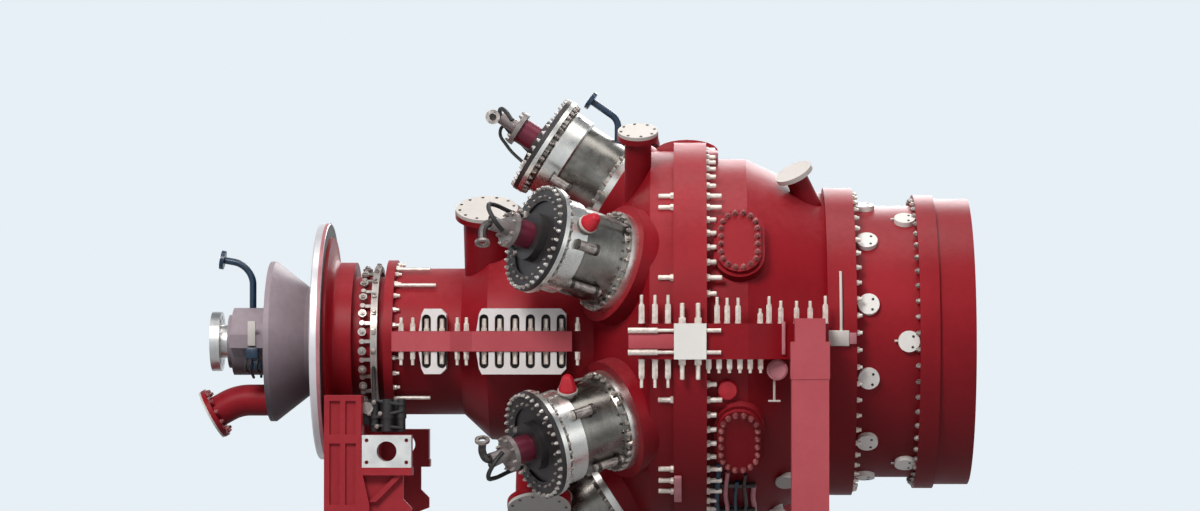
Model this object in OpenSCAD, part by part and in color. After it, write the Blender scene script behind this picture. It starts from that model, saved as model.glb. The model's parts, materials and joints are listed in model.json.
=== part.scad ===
// Heavy-duty gas turbine on its four support legs, intake to the left, exhaust to the right.
// Lengths are in millimetres. The shaft runs along X, Z is up and the feet stand on Z = 0.
// Stations along the shaft are counted from the main vertical joint, positive towards the exhaust.

/* [Whole machine] */
// Main vertical joint's distance from the middle of the machine's length
joint_x = 693.84; // [400:0.01:1000]
// Height of the shaft line over the floor
axis_z = 1900; // [1700:1:2400]
// Gap between pieces that sit in one another
seat_gap = 0.3; // [0.1:0.1:1]

/* [Shaft and bearing] */
// Radius of the coupling flange
coupling_r = 190; // [150:1:210]
// Thickness of the coupling flange
coupling_t = 60; // [40:1:80]
// Radius of the shaft
shaft_r = 105; // [80:1:120]
// Radius of the circle of coupling holes
coupling_pitch_r = 150; // [140:1:165]
// Radius of one coupling hole
coupling_hole_r = 14; // [8:1:16]
// Number of coupling holes
coupling_holes = 12; // [6:1:16]
// Depth of the centring recess in the coupling
spigot_d = 12; // [5:1:20]
// Radius of the centring recess
spigot_r = 90; // [60:1:100]
// Length of shaft in view between coupling and seal plate
shaft_show = 50; // [20:1:80]
// Length of the bearing housing in front of the cone's cover
bearing_l = 264; // [220:1:300]
// Radius of the bearing housing
bearing_r = 215; // [180:1:240]
// Width of the bearing housing's split flange on each side
bearing_ear = 70; // [40:1:100]
// Thickness of the bearing housing's split flange
bearing_ear_t = 84; // [50:1:120]
// Radius of the bearing housing's front seal plate
seal_r = 170; // [140:1:200]
// Thickness of the front seal plate
seal_t = 30; // [15:1:40]

/* [Intake] */
// Large end of the inner intake cone
cone_x = -2682; // [-2720:1:-2640]
// Outer radius of the cone's large end
cone_r = 512; // [480:1:540]
// Station where the cone has narrowed
cone_neck_x = -2440; // [-2480:1:-2400]
// Radius of the narrowed cone
cone_neck_r = 350; // [330:1:370]
// Station where the cone meets the hub
cone_hub_x = -2250; // [-2300:1:-2200]
// Radius of the compressor hub
hub_r = 245; // [230:1:260]
// Drop of the cone's radius right behind its narrow place
neck_drop = 40; // [20:1:60]
// Length of that drop along the shaft
neck_run = 80; // [60:1:100]
// Radius lost where the cone blends into the hub
hub_blend = 20; // [10:1:30]
// Width of the rim at the cone's large end
cone_rim = 34; // [20:1:50]
// How far the front cover stands back in the cone
cover_set = 26; // [10:1:40]
// Thickness of the front cover
cover_t = 24; // [15:1:30]
// Front face of the bellmouth ring
ring_x = -2368; // [-2400:1:-2340]
// Thickness of the bellmouth ring
ring_t = 68; // [50:1:90]
// Outer radius of the bellmouth ring
ring_r = 755; // [720:1:800]
// Inner radius of the bellmouth ring
ring_in_r = 640; // [600:1:660]
// Chamfer of the bellmouth ring's edges
ring_edge = 8; // [4:1:12]
// Depth of the ring's lip in front of the casing
ring_lip = 10; // [5:1:20]
// Radius of the intake casing's flange behind the ring
bell_flange_r = 665; // [655:1:680]
// Thickness of that flange
bell_flange_t = 22; // [15:1:30]
// Length of the bellmouth's curve
bell_l = 134; // [120:1:150]
// Outer radius of the intake casing behind the ring
intake_r = 505; // [490:1:520]
// Inner radius of the intake casing
intake_in_r = 474; // [455:1:480]
// Rear end of the intake casing
intake_end_x = -2131; // [-2150:1:-2110]
// Thickness of the intake casing's rear wall
intake_rear_t = 40; // [30:1:50]
// Number of intake struts
struts = 6; // [4:1:8]
// Thickness of a strut
strut_t = 34; // [24:1:44]
// Length of a strut along the shaft
strut_l = 100; // [80:1:110]

/* [Guide vanes] */
// Distance of the vane pivots behind the intake casing
vane_set = 66; // [55:1:75]
// Outer radius of the vane drum
drum_r = 412; // [400:1:425]
// Inner radius of the vane drum
drum_in_r = 372; // [360:1:380]
// Number of guide vanes
vanes = 24; // [18:2:30]
// Chord of a guide vane
vane_chord = 88; // [70:1:95]
// Greatest thickness of a guide vane
vane_t = 16; // [10:1:20]
// Turn of the guide vanes away from the shaft line
vane_turn = 28; // [0:1:40]
// Radius of a vane's boss on the drum
vane_boss_r = 26; // [18:1:30]
// Height of a vane's boss over the drum
vane_boss_h = 24; // [15:1:30]
// Radius of the head on a lever's pivot
pivot_r = 16; // [10:1:18]
// Height of the head on a lever's pivot
pivot_h = 20; // [14:1:24]
// Front edge of the unison ring
unison_x = -2010; // [-2040:1:-1990]
// Width of the unison ring
unison_w = 42; // [30:1:50]
// Inner radius of the unison ring
unison_in_r = 446; // [440:1:455]
// Outer radius of the unison ring
unison_r = 478; // [465:1:490]
// Width of a vane lever
lever_w = 22; // [14:1:26]
// Thickness of a vane lever
lever_t = 12; // [8:1:16]

/* [Compressor] */
// Front face of the compressor's front flange
comp_flange_x = -1926; // [-1940:1:-1910]
// Rear face of the compressor's front flange
comp_x = -1869; // [-1880:1:-1850]
// Radius of the compressor's front flange
comp_flange_r = 520; // [500:1:540]
// Radius of the compressor casing
comp_r = 467; // [450:1:480]
// Station where the casing starts to widen
flare_x = -1440; // [-1460:1:-1420]
// Station where the casing has widened
flare_end_x = -1267; // [-1290:1:-1240]
// Radius of the widened casing
flare_r = 627; // [610:1:640]
// Joint between compressor and combustor casing
mid_joint_x = -700; // [-715:1:-690]
// Casing radius at that joint
mid_joint_r = 664; // [655:1:668]
// Depth of the open blading behind the front flange
blading_d = 150; // [120:1:180]
// Number of first-row compressor blades
comp_blades = 28; // [20:1:32]
// Distance of the first blade row behind the front flange
comp_blade_set = 60; // [50:1:80]
// Turn of the first-row blades
comp_turn = 38; // [30:1:45]
// Camber of the blades and vanes, for each millimetre of chord
camber = 0.12; // [0.05:0.01:0.2]
// Width of the split flange from the shaft line, front part
split_y = 590; // [570:1:610]
// Width of the split flange from the shaft line, rear part
split_wide_y = 780; // [760:1:800]
// Station where the split flange starts to widen
split_turn_x = -1500; // [-1530:1:-1480]
// Station where the split flange is at its widest
split_full_x = -1350; // [-1380:1:-1330]
// Rear end of the split flange
split_end_x = -730; // [-760:1:-720]
// Thickness of one half of the split flange
split_t = 64; // [50:1:80]
// Height of the pocket band over the split flange
pocket_h = 140; // [120:1:150]
// Front end of the rear pocket band
pocket_x = -1325; // [-1340:1:-1310]
// Rear end of the rear pocket band
pocket_end_x = -768; // [-780:1:-760]
// Front end of the front pocket band
front_pocket_x = -1696; // [-1710:1:-1680]
// Rear end of the front pocket band
front_pocket_end_x = -1525; // [-1530:1:-1515]
// Distance of the first pocket from its band's front end
pocket_first = 47; // [40:1:60]
// How far the pocket bands stand back from the flange's edge
pocket_back = 8; // [4:1:20]
// Slope at the ends of a pocket band
pocket_slope = 34; // [15:1:40]
// Distance between stud pockets
pocket_pitch = 96; // [90:1:110]
// Width of a stud pocket
pocket_w = 58; // [50:1:64]
// Height of a stud pocket
pocket_cut_h = 104; // [95:1:112]
// Depth of a stud pocket
pocket_d = 74; // [60:1:90]

/* [Combustors] */
// Station where the casing's head cone starts
head_x = -600; // [-620:1:-580]
// Radius where the head cone starts
head_r = 672; // [668:1:680]
// Station where the head cone ends
head_end_x = -247; // [-260:1:-230]
// Radius of the combustor casing
main_r = 1216; // [1200:1:1230]
// Lean of the cans away from the shaft line
can_lean = 33; // [28:1:36]
// Station of a can's mounting face
can_x = -486; // [-500:1:-470]
// Distance of a can's mounting face from the shaft line
can_r = 966; // [950:1:980]
// Radius of the boss under a can
boss_r = 372; // [340:1:384]
// Depth of the boss below its face
boss_d = 260; // [200:1:300]
// Radius of a can's mounting flange
can_foot_r = 318; // [300:1:330]
// Thickness of a can's mounting flange
can_foot_t = 46; // [35:1:60]
// Radius of a can
can_body_r = 272; // [260:1:284]
// Radius of a can's wider machined ring
can_ring_r = 290; // [282:1:300]
// Size of the steps and fillets on a can
can_step_r = 13; // [8:1:16]
// Start of the wider ring along the can
can_ring_z = 330; // [300:1:360]
// Radius of a can's outer flange
can_flange_r = 335; // [320:1:350]
// Start of the outer flange along the can
can_flange_z = 496; // [480:1:505]
// End of the can's own flange
can_top_z = 524; // [510:1:540]
// Thickness of a can's end cover
end_cover_t = 30; // [24:1:40]
// Radius of the recess in the end cover
end_recess_r = 236; // [220:1:250]
// Depth of the recess in the end cover
end_recess_d = 14; // [10:1:20]
// Radius of the raised middle of the end cover
end_hub_r = 150; // [130:1:170]
// Height of the raised middle over the recess floor
end_hub_h = 54; // [40:1:70]
// Radius of the fuel nozzle body
fuel_r = 84; // [70:1:100]
// Length of the fuel nozzle body
fuel_l = 120; // [100:1:150]
// Radius of the fuel nozzle flange
fuel_flange_r = 112; // [100:1:125]
// Thickness of the fuel nozzle flange
fuel_flange_t = 30; // [20:1:40]
// Radius of the fuel inlet pipe
fuel_pipe_r = 42; // [34:1:50]
// Length of the fuel inlet pipe
fuel_pipe_l = 150; // [120:1:200]

/* [Main casing] */
// Half thickness of the main vertical flange
main_flange_t = 102; // [90:1:115]
// Radius of the main vertical flange
main_flange_r = 1270; // [1250:1:1290]
// How far the split flange stands out past the vertical flange
main_split_out = 70; // [50:1:90]
// How far the split flange starts in front of the full casing
main_split_lead = 60; // [40:1:80]
// Thickness of one half of the main split flange
main_split_t = 108; // [95:1:120]
// Width of the key block at the joint
key_w = 196; // [180:1:200]
// Height of the key block at the joint
key_h = 217; // [200:1:230]
// How far the key block stands out
key_t = 40; // [25:1:60]
// Radius of the turbine casing
turb_r = 1165; // [1150:1:1180]
// Station where the turbine casing starts to narrow
turb_taper_x = 352; // [340:1:365]
// Radius of the turbine casing's rear end
turb_end_r = 940; // [930:1:950]
// Half width over the split flange at its rear end
turb_split_end_y = 1110; // [1095:1:1125]

/* [Nozzles and covers] */
// Rim of the casing round an inspection cover
hatch_rim = 20; // [12:1:30]
// Lean of the bleed nozzles to each side of the top
bleed_az = 25; // [22:1:28]
// Station of the large bleed nozzle
bleed_x = -1280; // [-1300:1:-1260]
// Radius of the large bleed nozzle
bleed_r = 150; // [130:1:160]
// Radius of the large bleed flange
bleed_flange_r = 200; // [185:1:210]
// Distance of the large bleed flange's face from the shaft line
bleed_face_r = 905; // [880:1:930]
// Station of the small bleed nozzle
vent_x = -326; // [-340:1:-310]
// Radius of the small bleed nozzle
vent_r = 84; // [70:1:95]
// Radius of the small bleed flange
vent_flange_r = 128; // [115:1:140]
// Distance of the small bleed flange's face from the shaft line
vent_face_r = 1430; // [1400:1:1460]
// Station of the lower bleed nozzles
sump_x = -941; // [-960:1:-930]
// Lean of the lower bleed nozzles from the top
sump_az = 150; // [148:1:152]
// Distance of the lower bleed flanges' faces from the shaft line
sump_face_r = 1190; // [1150:1:1200]
// Distance of the bleed nozzles' roots from the shaft line
nozzle_root_r = 445; // [430:1:460]
// Thickness of the bleed flanges
bleed_flange_t = 34; // [25:1:45]
// Thickness of the blanking covers
blank_t = 22; // [15:1:30]
// How far a blanking cover stands back from its flange's edge
blank_edge = 3; // [1:1:8]
// Lean of the rear nozzle from the top
rear_nozzle_az = 25; // [20:1:30]
// Station of the rear nozzle
rear_nozzle_x = 730; // [715:1:735]
// Radius of the rear nozzle
rear_nozzle_r = 70; // [60:1:72]
// How far the rear nozzle's rim stands out
rear_nozzle_rim = 45; // [30:1:50]
// Length of the rear nozzle over the casing
rear_nozzle_l = 175; // [150:1:190]
// Lean of the rear nozzle towards the intake
rear_nozzle_lean = 25; // [15:1:30]
// Station of the inspection covers
hatch_x = 300; // [290:1:315]
// Angle of the inspection covers from the split line
hatch_az = 30; // [28:1:34]
// Width of an inspection cover
hatch_w = 270; // [250:1:300]
// Length of an inspection cover round the casing
hatch_l = 440; // [420:1:470]
// Height of an inspection cover's seat over the casing
hatch_seat = 37; // [25:1:50]
// Thickness of an inspection cover
hatch_t = 30; // [20:1:40]

/* [Exhaust] */
// Front face of the exhaust joint flange
exh_joint_x = 845; // [835:1:855]
// Rear face of the exhaust joint flange
exh_x = 1024; // [1010:1:1040]
// Radius of the exhaust joint flange
exh_joint_r = 980; // [970:1:995]
// Radius of the exhaust casing
exh_r = 865; // [850:1:880]
// Inner radius of the exhaust duct
exh_in_r = 822; // [800:1:830]
// Front face of the exhaust end flange
exh_flange_x = 1414; // [1400:1:1430]
// Rear face of the exhaust end flange
exh_flange_end_x = 1536; // [1520:1:1550]
// Radius of the exhaust end flange
exh_flange_r = 935; // [925:1:950]
// Rear end of the machine
exh_end_x = 1760; // [1740:1:1780]
// Radius of the exhaust mouth ring
mouth_r = 910; // [900:1:920]
// Radius of the exhaust hub
exh_hub_r = 430; // [400:1:450]
// Thickness of the exhaust hub's wall
exh_hub_wall = 28; // [20:1:40]
// Narrowing of the exhaust hub at its rear end
exh_hub_drop = 50; // [30:1:70]
// How far the exhaust hub ends in front of the mouth
exh_hub_back = 40; // [20:1:60]
// Depth of the hollow in the exhaust hub's end
exh_hub_d = 80; // [50:1:120]
// Distance of the exhaust struts behind the joint flange
exh_strut_set = 150; // [120:1:180]
// Number of exhaust struts
exh_struts = 6; // [5:1:8]
// Thickness of an exhaust strut
exh_strut_t = 56; // [40:1:70]
// Length of an exhaust strut along the shaft
exh_strut_l = 210; // [180:1:230]
// Number of last-row turbine blades
turb_blades = 44; // [36:1:50]
// Chord of a turbine blade
turb_chord = 104; // [90:1:110]
// Greatest thickness of a turbine blade
turb_blade_t = 20; // [12:1:24]
// Turn of the turbine blades
turb_turn = 38; // [30:1:45]
// Gap between the blade tips and the casing
tip_gap = 6; // [4:1:10]
// Radius of a round port cover
port_r = 66; // [60:1:70]
// Height of a round port cover over the casing
port_h = 30; // [20:1:40]
// Station of the front ring of port covers
port_x = 1100; // [1095:1:1110]
// Number of port covers in the front ring
ports = 12; // [10:1:14]
// Station of the rear ring of port covers
rear_port_x = 1346; // [1330:1:1347]
// Number of port covers in the rear ring
rear_ports = 6; // [5:1:8]
// Radius of the circle of exhaust flange holes
exh_pitch_r = 866; // [850:1:880]
// Radius of one exhaust flange hole
exh_hole_r = 13; // [8:1:14]
// Depth of the exhaust flange holes
exh_hole_d = 60; // [40:1:80]
// Number of exhaust flange holes
exh_holes = 12; // [8:1:16]

/* [Rear legs] */
// Station of the rear legs
rear_leg_x = 723; // [700:1:740]
// Width of a rear leg along the shaft
rear_leg_w = 235; // [200:1:250]
// Width of the casing lug over a rear leg
lug_w = 183; // [160:1:200]
// How far the casing lug reaches into the split flange
lug_in = 90; // [70:1:110]
// How far a rear leg's column stands back from its head
column_in = 5; // [2:1:15]
// Height of the pad on a rear leg's head
leg_pad_h = 14; // [8:1:20]
// How far a rear leg's head reaches under the split flange
rear_leg_in = 150; // [140:1:160]
// Depth of a rear leg across the machine
rear_leg_d = 210; // [190:1:240]
// Top of a rear leg's head, from the shaft line
rear_head_top = 12; // [0:1:14]
// Bottom of a rear leg's head, from the shaft line
rear_head_low = -228; // [-260:1:-210]
// Top of the casing lug, from the shaft line
lug_top = 139; // [130:1:150]
// Length of the foot plates along the shaft
foot_l = 420; // [380:1:460]
// Width of the foot plates
foot_w = 380; // [340:1:420]
// Thickness of the foot plates
foot_t = 45; // [35:1:60]
// Distance between anchor holes along the shaft
anchor_x = 320; // [300:1:340]
// Distance between anchor holes across
anchor_y = 290; // [270:1:300]
// Radius of an anchor hole
anchor_r = 16; // [12:1:20]

/* [Front legs] */
// Front side of a front leg
front_leg_x = -2262; // [-2280:1:-2240]
// Width of a front leg along the shaft
front_leg_w = 230; // [210:1:250]
// Inner side of a front leg
front_leg_y = 650; // [640:1:670]
// Outer side of a front leg
front_leg_out_y = 850; // [830:1:870]
// Top of a front leg, from the shaft line
front_leg_top = -334; // [-350:1:-320]
// How far a front leg widens towards the floor
leg_flare = 51; // [30:1:70]
// Where a front leg starts to widen, from the shaft line
leg_flare_top = -780; // [-800:1:-760]
// Where a front leg has widened, from the shaft line
leg_flare_low = -1010; // [-1060:1:-960]
// Depth of the panels let into a front leg
panel_d = 22; // [10:1:30]
// Width of the frame round a leg's panel
panel_frame = 34; // [25:1:45]
// Height of the band round a front leg
leg_band_h = 56; // [40:1:90]
// Middle of the band round a front leg, from the shaft line
leg_band_z = -602; // [-640:1:-590]
// Lower edge of the panels, over the floor
panel_low = 846; // [700:1:900]
// Lower edge of the cradle between the front legs
cradle_low = -660; // [-700:1:-640]
// Upper edge of the cradle between the front legs
cradle_top = -360; // [-380:1:-340]
// Middle of the support plate along the shaft
plate_x = -1875; // [-1880:1:-1870]
// Middle of the support plate, from the shaft line
plate_z = -679; // [-700:1:-660]
// Width of the support plate
plate_w = 305; // [290:1:310]
// Height of the support plate
plate_h = 200; // [190:1:220]
// Thickness of the support plate
plate_t = 26; // [20:1:35]
// Radius of the support plate's bore
plate_bore_r = 62; // [55:1:70]
// Distance between plate holes along the shaft
plate_pitch_x = 246; // [230:1:254]
// Distance between plate holes up and down
plate_pitch_z = 136; // [125:1:145]
// Radius of a plate hole
plate_hole_r = 12; // [8:1:14]
// Depth of the bracket behind the support plate
bracket_d = 110; // [90:1:130]
// Thickness of the ledge under the bracket
ledge_t = 48; // [30:1:60]
// How far the ledge runs out past the bracket
ledge_out = 6; // [2:1:12]
// How far the web under the ledge stands back from the ledge's end
web_in = 54; // [40:1:70]
// Height of the web's set-back side
web_h = 150; // [120:1:180]
// Height of the web's full side
web_low_h = 120; // [80:1:160]
// Thickness of the web
web_t = 40; // [25:1:60]
// Run of the sloping brace on the web, down and across
brace_run = 166; // [150:1:180]
// Width of the sloping brace along the shaft
brace_w = 45; // [30:1:60]

/* [Pipes] */
// Radius of the small pipes
pipe_r = 22; // [18:1:26]
// Radius of the small pipe flanges
pipe_flange_r = 60; // [50:1:68]
// Thickness of the small pipe flanges
pipe_flange_t = 26; // [14:1:30]
// Bore of a small pipe's mouth
mouth_bore_r = 14; // [10:1:16]
// Depth of a small pipe's mouth
mouth_bore_d = 70; // [50:1:80]
// Distance of the vent pipe behind the bearing housing's front
vent_pipe_set = 117; // [80:1:160]
// Height of the vent pipe's bend over the bearing housing
vent_pipe_rise = 147; // [120:1:180]
// Radius of the vent pipe's bend
vent_bend_r = 150; // [100:1:180]
// Turn of the vent pipe's bend
vent_turn = 80; // [60:1:90]
// Length of the vent pipe's end
vent_pipe_l = 85; // [80:1:120]
// Station of the top pipe
top_pipe_x = -461; // [-480:1:-440]
// Height of the top pipe's bend over the can
top_pipe_rise = 100; // [80:1:140]
// Radius of the top pipe's bend
top_bend_r = 90; // [70:1:110]
// Turn of the top pipe's bend
top_turn = 55; // [45:1:65]
// Length of the top pipe's end
top_pipe_l = 178; // [150:1:200]
// Radius of the drain duct
drain_r = 100; // [80:1:101]
// Distance of the drain duct's start below the shaft line
drain_z = 376; // [360:1:377]
// Length of the drain duct's level part
drain_level = 161; // [120:1:200]
// Radius of the drain duct's bend
drain_bend_r = 300; // [220:1:340]
// Turn of the drain duct's bend
drain_turn = 29; // [20:1:35]
// Length of the drain duct behind its bend
drain_l = 108; // [80:1:140]
// Radius of the drain duct's flange
drain_flange_r = 165; // [150:1:175]
// Thickness of the drain duct's flange
drain_flange_t = 30; // [20:1:40]
// Thickness of the blanking cover on the drain duct
drain_cover_t = 14; // [8:1:20]

/* [Hidden] */
round_fn = 96;
fine_fn = 288;
curve_steps = 6;
big = 4000;
half = 0.5;
sink = 10;
bearing_x = cone_x + cover_set - bearing_l;
coupling_x = bearing_x - seal_t - shaft_show - coupling_t;
vane_x = intake_end_x + vane_set;
hub_end_x = comp_x + blading_d;
main_split_y = main_flange_r + main_split_out;
rear_leg_y = main_split_y - rear_leg_in;
rear_leg_out_y = rear_leg_y + rear_leg_d;
hatch_face_r = turb_r + hatch_seat + hatch_t;
can_az = [0, 60, 120, 180, 240, 300];
red = [0.45, 0.05, 0.08];
steel = [0.72, 0.70, 0.68];
pale = [0.88, 0.87, 0.84];
bare = [0.42, 0.39, 0.36];
navy = [0.05, 0.16, 0.26];
grey = [0.36, 0.33, 0.31];

// Shaft line with its zero at the main vertical joint
module on_axis(x = 0, az = 0) {
    translate([joint_x + x, 0, axis_z]) rotate([az, 0, 0]) children();
}

// Solid of revolution about the shaft line from [radius, station] points
module turned(points, steps = round_fn) {
    on_axis() rotate([0, 90, 0]) rotate_extrude($fn = steps) polygon(points);
}

// Plain ring about the shaft line
module ring(x0, x1, inner, outer) {
    turned([[inner, x0], [outer, x0], [outer, x1], [inner, x1]]);
}

// Plain disc about the shaft line
module disc(x0, x1, outer) {
    on_axis(x0) rotate([0, 90, 0]) cylinder(h = x1 - x0, r = outer, $fn = round_fn);
}

// Everything above or below the shaft line
module upper_side() {
    translate([-big, -big, axis_z]) cube([2 * big, 2 * big, big]);
}

module lower_side() {
    translate([-big, -big, axis_z - big]) cube([2 * big, 2 * big, big]);
}

// Round post standing out from the shaft line at an angle from the top
module post(x, az, r, from, to) {
    on_axis(x, az) translate([0, 0, from]) cylinder(h = to - from, r = r, $fn = round_fn);
}

// Mounting face of one can, outwards along the can
module on_can(az) {
    on_axis(can_x, az) translate([0, 0, can_r]) rotate([0, can_lean - 90, 0]) children();
}

// Points of an arc of the given chord and rise, from its left end
function arc_points(chord, rise) = [
    for (i = [0 : curve_steps]) let (t = i / curve_steps) [chord * (t - half), 4 * rise * t * (1 - t)]
];

function reversed(points) = [for (i = [len(points) - 1 : -1 : 0]) points[i]];

// Section of a blade, curved like a thin crescent
module blade_section(chord, thick) {
    back = reversed(arc_points(chord, camber * chord));
    polygon(concat(
        arc_points(chord, camber * chord + thick), [for (i = [1 : curve_steps - 1]) back[i]]
    ));
}

module blade(x, az, turn, chord, thick, from, to) {
    on_axis(x, az) translate([0, 0, from]) rotate([0, 0, turn])
        linear_extrude(height = to - from) blade_section(chord, thick);
}

module mirrored() {
    children();
    mirror([0, 1, 0]) children();
}

module shaft_coupling() {
    color(steel) difference() {
        union() {
            disc(coupling_x, coupling_x + coupling_t, coupling_r);
            disc(coupling_x + coupling_t, bearing_x + seal_t, shaft_r);
        }
        disc(coupling_x, coupling_x + spigot_d, spigot_r);
        for (i = [0 : coupling_holes - 1])
            hole_along(coupling_x - sink, 360 * i / coupling_holes, coupling_pitch_r, coupling_hole_r,
                coupling_t + 2 * sink);
    }
}

// Hole along the shaft line at a pitch radius, from a station backwards
module hole_along(x, az, pitch_r, r, l) {
    on_axis(x, az) translate([0, 0, pitch_r]) rotate([0, 90, 0]) cylinder(h = l, r = r, $fn = round_fn);
}

module bearing_housing() {
    ear_l = cone_x + cover_set - bearing_x;
    color(grey) difference() {
        union() {
            disc(bearing_x, cone_x + cover_set, bearing_r);
            disc(bearing_x - seal_t, bearing_x, seal_r);
            on_axis(bearing_x) translate([0, -bearing_r - bearing_ear, -bearing_ear_t * half])
                cube([ear_l, 2 * (bearing_r + bearing_ear), bearing_ear_t]);
        }
        disc(bearing_x - 2 * seal_t, bearing_x + seal_t, shaft_r + seat_gap);
    }
}

module cone_cover() {
    color(grey) ring(cone_x + cover_set, cone_x + cover_set + cover_t, 0, cone_r - cone_rim);
}

module cone_body() {
    inner = cone_r - cone_rim + seat_gap;
    back = cone_x + cover_set + cover_t;
    turned([
        [inner, cone_x], [cone_r, cone_x], [cone_r, cone_x + cone_rim],
        [cone_neck_r, cone_neck_x], [cone_neck_r - neck_drop, cone_neck_x + neck_run],
        [hub_r + hub_blend, cone_hub_x - 2 * hub_blend], [hub_r, cone_hub_x], [hub_r, comp_flange_x],
        [0, comp_flange_x], [0, back], [inner, back]
    ]);
}

module intake_cone() {
    color(grey) cone_body();
}

module intake_struts() {
    x = intake_end_x - 2 * intake_rear_t - strut_l * half;
    color(grey) for (i = [0 : struts - 1]) difference() {
        on_axis(x, 360 * (i + half) / struts) translate([-strut_l * half, -strut_t * half, hub_r - sink])
            cube([strut_l, strut_t, intake_r - hub_r]);
        cone_body();
        intake_body();
    }
}

module bellmouth_ring() {
    back = ring_x + ring_t;
    color(pale) turned([
        [ring_in_r, ring_x + ring_lip], [ring_in_r + ring_edge, ring_x], [ring_r - ring_edge, ring_x],
        [ring_r, ring_x + ring_edge], [ring_r, back - ring_edge], [ring_r - ring_edge, back], [ring_in_r, back]
    ]);
}

module intake_casing() {
    color(red) intake_body();
}

// Curve of a bellmouth from its wide end at x0 to its narrow end at x1
function bell(wide_r, narrow_r, x0, x1) = [
    for (i = [0 : curve_steps]) let (a = 90 * i / curve_steps)
        [wide_r - (wide_r - narrow_r) * sin(a), x0 + (x1 - x0) * (1 - cos(a))]
];

module intake_body() {
    back = ring_x + ring_t;
    mouth_r = ring_in_r - seat_gap;
    front = ring_x + ring_lip;
    turned(concat(
        [[mouth_r, back], [bell_flange_r, back]],
        bell(bell_flange_r, intake_r, back + bell_flange_t, front + bell_l - ring_lip),
        [
            [intake_r, intake_end_x], [drum_in_r, intake_end_x], [drum_in_r, intake_end_x - intake_rear_t],
            [intake_in_r, intake_end_x - 2 * intake_rear_t]
        ],
        reversed(bell(mouth_r, intake_in_r, front, front + bell_l))
    ));
}

module vane_drum() {
    color(red) union() {
        ring(intake_end_x, comp_flange_x, drum_in_r, drum_r);
        for (i = [0 : vanes - 1])
            post(vane_x, 360 * i / vanes, vane_boss_r, drum_in_r + sink, drum_r + vane_boss_h);
    }
}

module guide_vanes() {
    color(steel) for (i = [0 : vanes - 1]) difference() {
        blade(vane_x, 360 * i / vanes, vane_turn, vane_chord, vane_t, hub_r - sink, drum_r);
        disc(intake_end_x - sink, comp_flange_x, hub_r + seat_gap);
        ring(intake_end_x - sink, comp_flange_x, drum_in_r - seat_gap, drum_r + sink);
    }
}

module vane_levers() {
    from = drum_r + vane_boss_h;
    reach = unison_x + unison_w * half - vane_x + lever_w * half;
    color(steel) for (i = [0 : vanes - 1])
        on_axis(vane_x, 360 * i / vanes) translate([0, 0, from]) union() {
            cylinder(h = pivot_h, r = pivot_r, $fn = round_fn);
            translate([0, -lever_w * half, 0]) cube([reach, lever_w, unison_in_r - from - seat_gap]);
        }
}

module unison_ring() {
    color(steel) ring(unison_x, unison_x + unison_w, unison_in_r, unison_r);
}

module compressor_blades() {
    color(steel) union() {
        disc(comp_flange_x, hub_end_x, hub_r);
        for (i = [0 : comp_blades - 1])
            blade(comp_x + comp_blade_set, 360 * i / comp_blades, -comp_turn, vane_chord, vane_t,
                hub_r - sink, drum_in_r - tip_gap);
    }
}

module compressor_flange() {
    color(red) ring(comp_flange_x, comp_x, drum_in_r, comp_flange_r);
}

// Outline of the compressor's split flange seen from above
module split_outline() {
    polygon([
        [comp_x, 0], [comp_x, split_y], [split_turn_x, split_y],
        [split_full_x, split_wide_y], [split_end_x, split_wide_y], [split_end_x, 0]
    ]);
}

module compressor_body() {
    turned([
        [drum_in_r, comp_x], [comp_r, comp_x], [comp_r, flare_x], [flare_r, flare_end_x],
        [mid_joint_r, mid_joint_x], [0, mid_joint_x], [0, hub_end_x], [drum_in_r, hub_end_x]
    ]);
    difference() {
        on_axis() mirrored() translate([0, 0, -split_t]) linear_extrude(height = 2 * split_t) split_outline();
        disc(comp_x - sink, hub_end_x, drum_in_r);
    }
}

module compressor_casing_upper() {
    color(red) intersection() {
        compressor_body();
        upper_side();
    }
}

module compressor_casing_lower() {
    color(red) intersection() {
        compressor_body();
        lower_side();
    }
}

// Pocket for one stud, arched at its top, from the flange's edge inwards
module stud_pocket() {
    low = pocket_cut_h - pocket_w * half;
    translate([-pocket_w * half, -sink, -sink]) cube([pocket_w, pocket_d + sink, low + sink]);
    translate([0, pocket_d, low]) rotate([90, 0, 0])
        cylinder(h = pocket_d + sink, r = pocket_w * half, $fn = round_fn);
}

// Band of arched stud pockets on the split flange, on the near side
module pocket_band(x0, x1, y) {
    count = floor((x1 - x0 - pocket_first) / pocket_pitch) + 1;
    difference() {
        translate([0, 0, split_t + seat_gap]) rotate([90, 0, 0]) linear_extrude(height = y) polygon([
            [x0, 0], [x0 + pocket_slope * half, pocket_h - pocket_slope], [x0 + pocket_slope, pocket_h],
            [x1 - pocket_slope, pocket_h], [x1, pocket_h - pocket_slope], [x1, 0]
        ]);
        for (i = [0 : count - 1])
            translate([x0 + pocket_first + i * pocket_pitch, -y, split_t]) stud_pocket();
    }
}

module pocket_bands() {
    difference() {
        on_axis() mirrored() {
            pocket_band(front_pocket_x, front_pocket_end_x, split_y - pocket_back);
            pocket_band(pocket_x, pocket_end_x, split_wide_y - pocket_back);
        }
        turned([
            [0, comp_x - sink], [comp_r + seat_gap, comp_x - sink], [comp_r + seat_gap, flare_x],
            [flare_r + seat_gap, flare_end_x], [mid_joint_r + seat_gap, mid_joint_x], [0, mid_joint_x]
        ]);
    }
}

module stud_pockets_upper() {
    color(pale) pocket_bands();
}

module stud_pockets_lower() {
    color(pale) translate([0, 0, 2 * axis_z]) mirror([0, 0, 1]) pocket_bands();
}

// Half of the main split flange's outline seen from above, on the far side
module main_outline(points) {
    on_axis() mirrored() translate([0, 0, -main_split_t]) linear_extrude(height = 2 * main_split_t)
        polygon(points);
}

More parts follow.
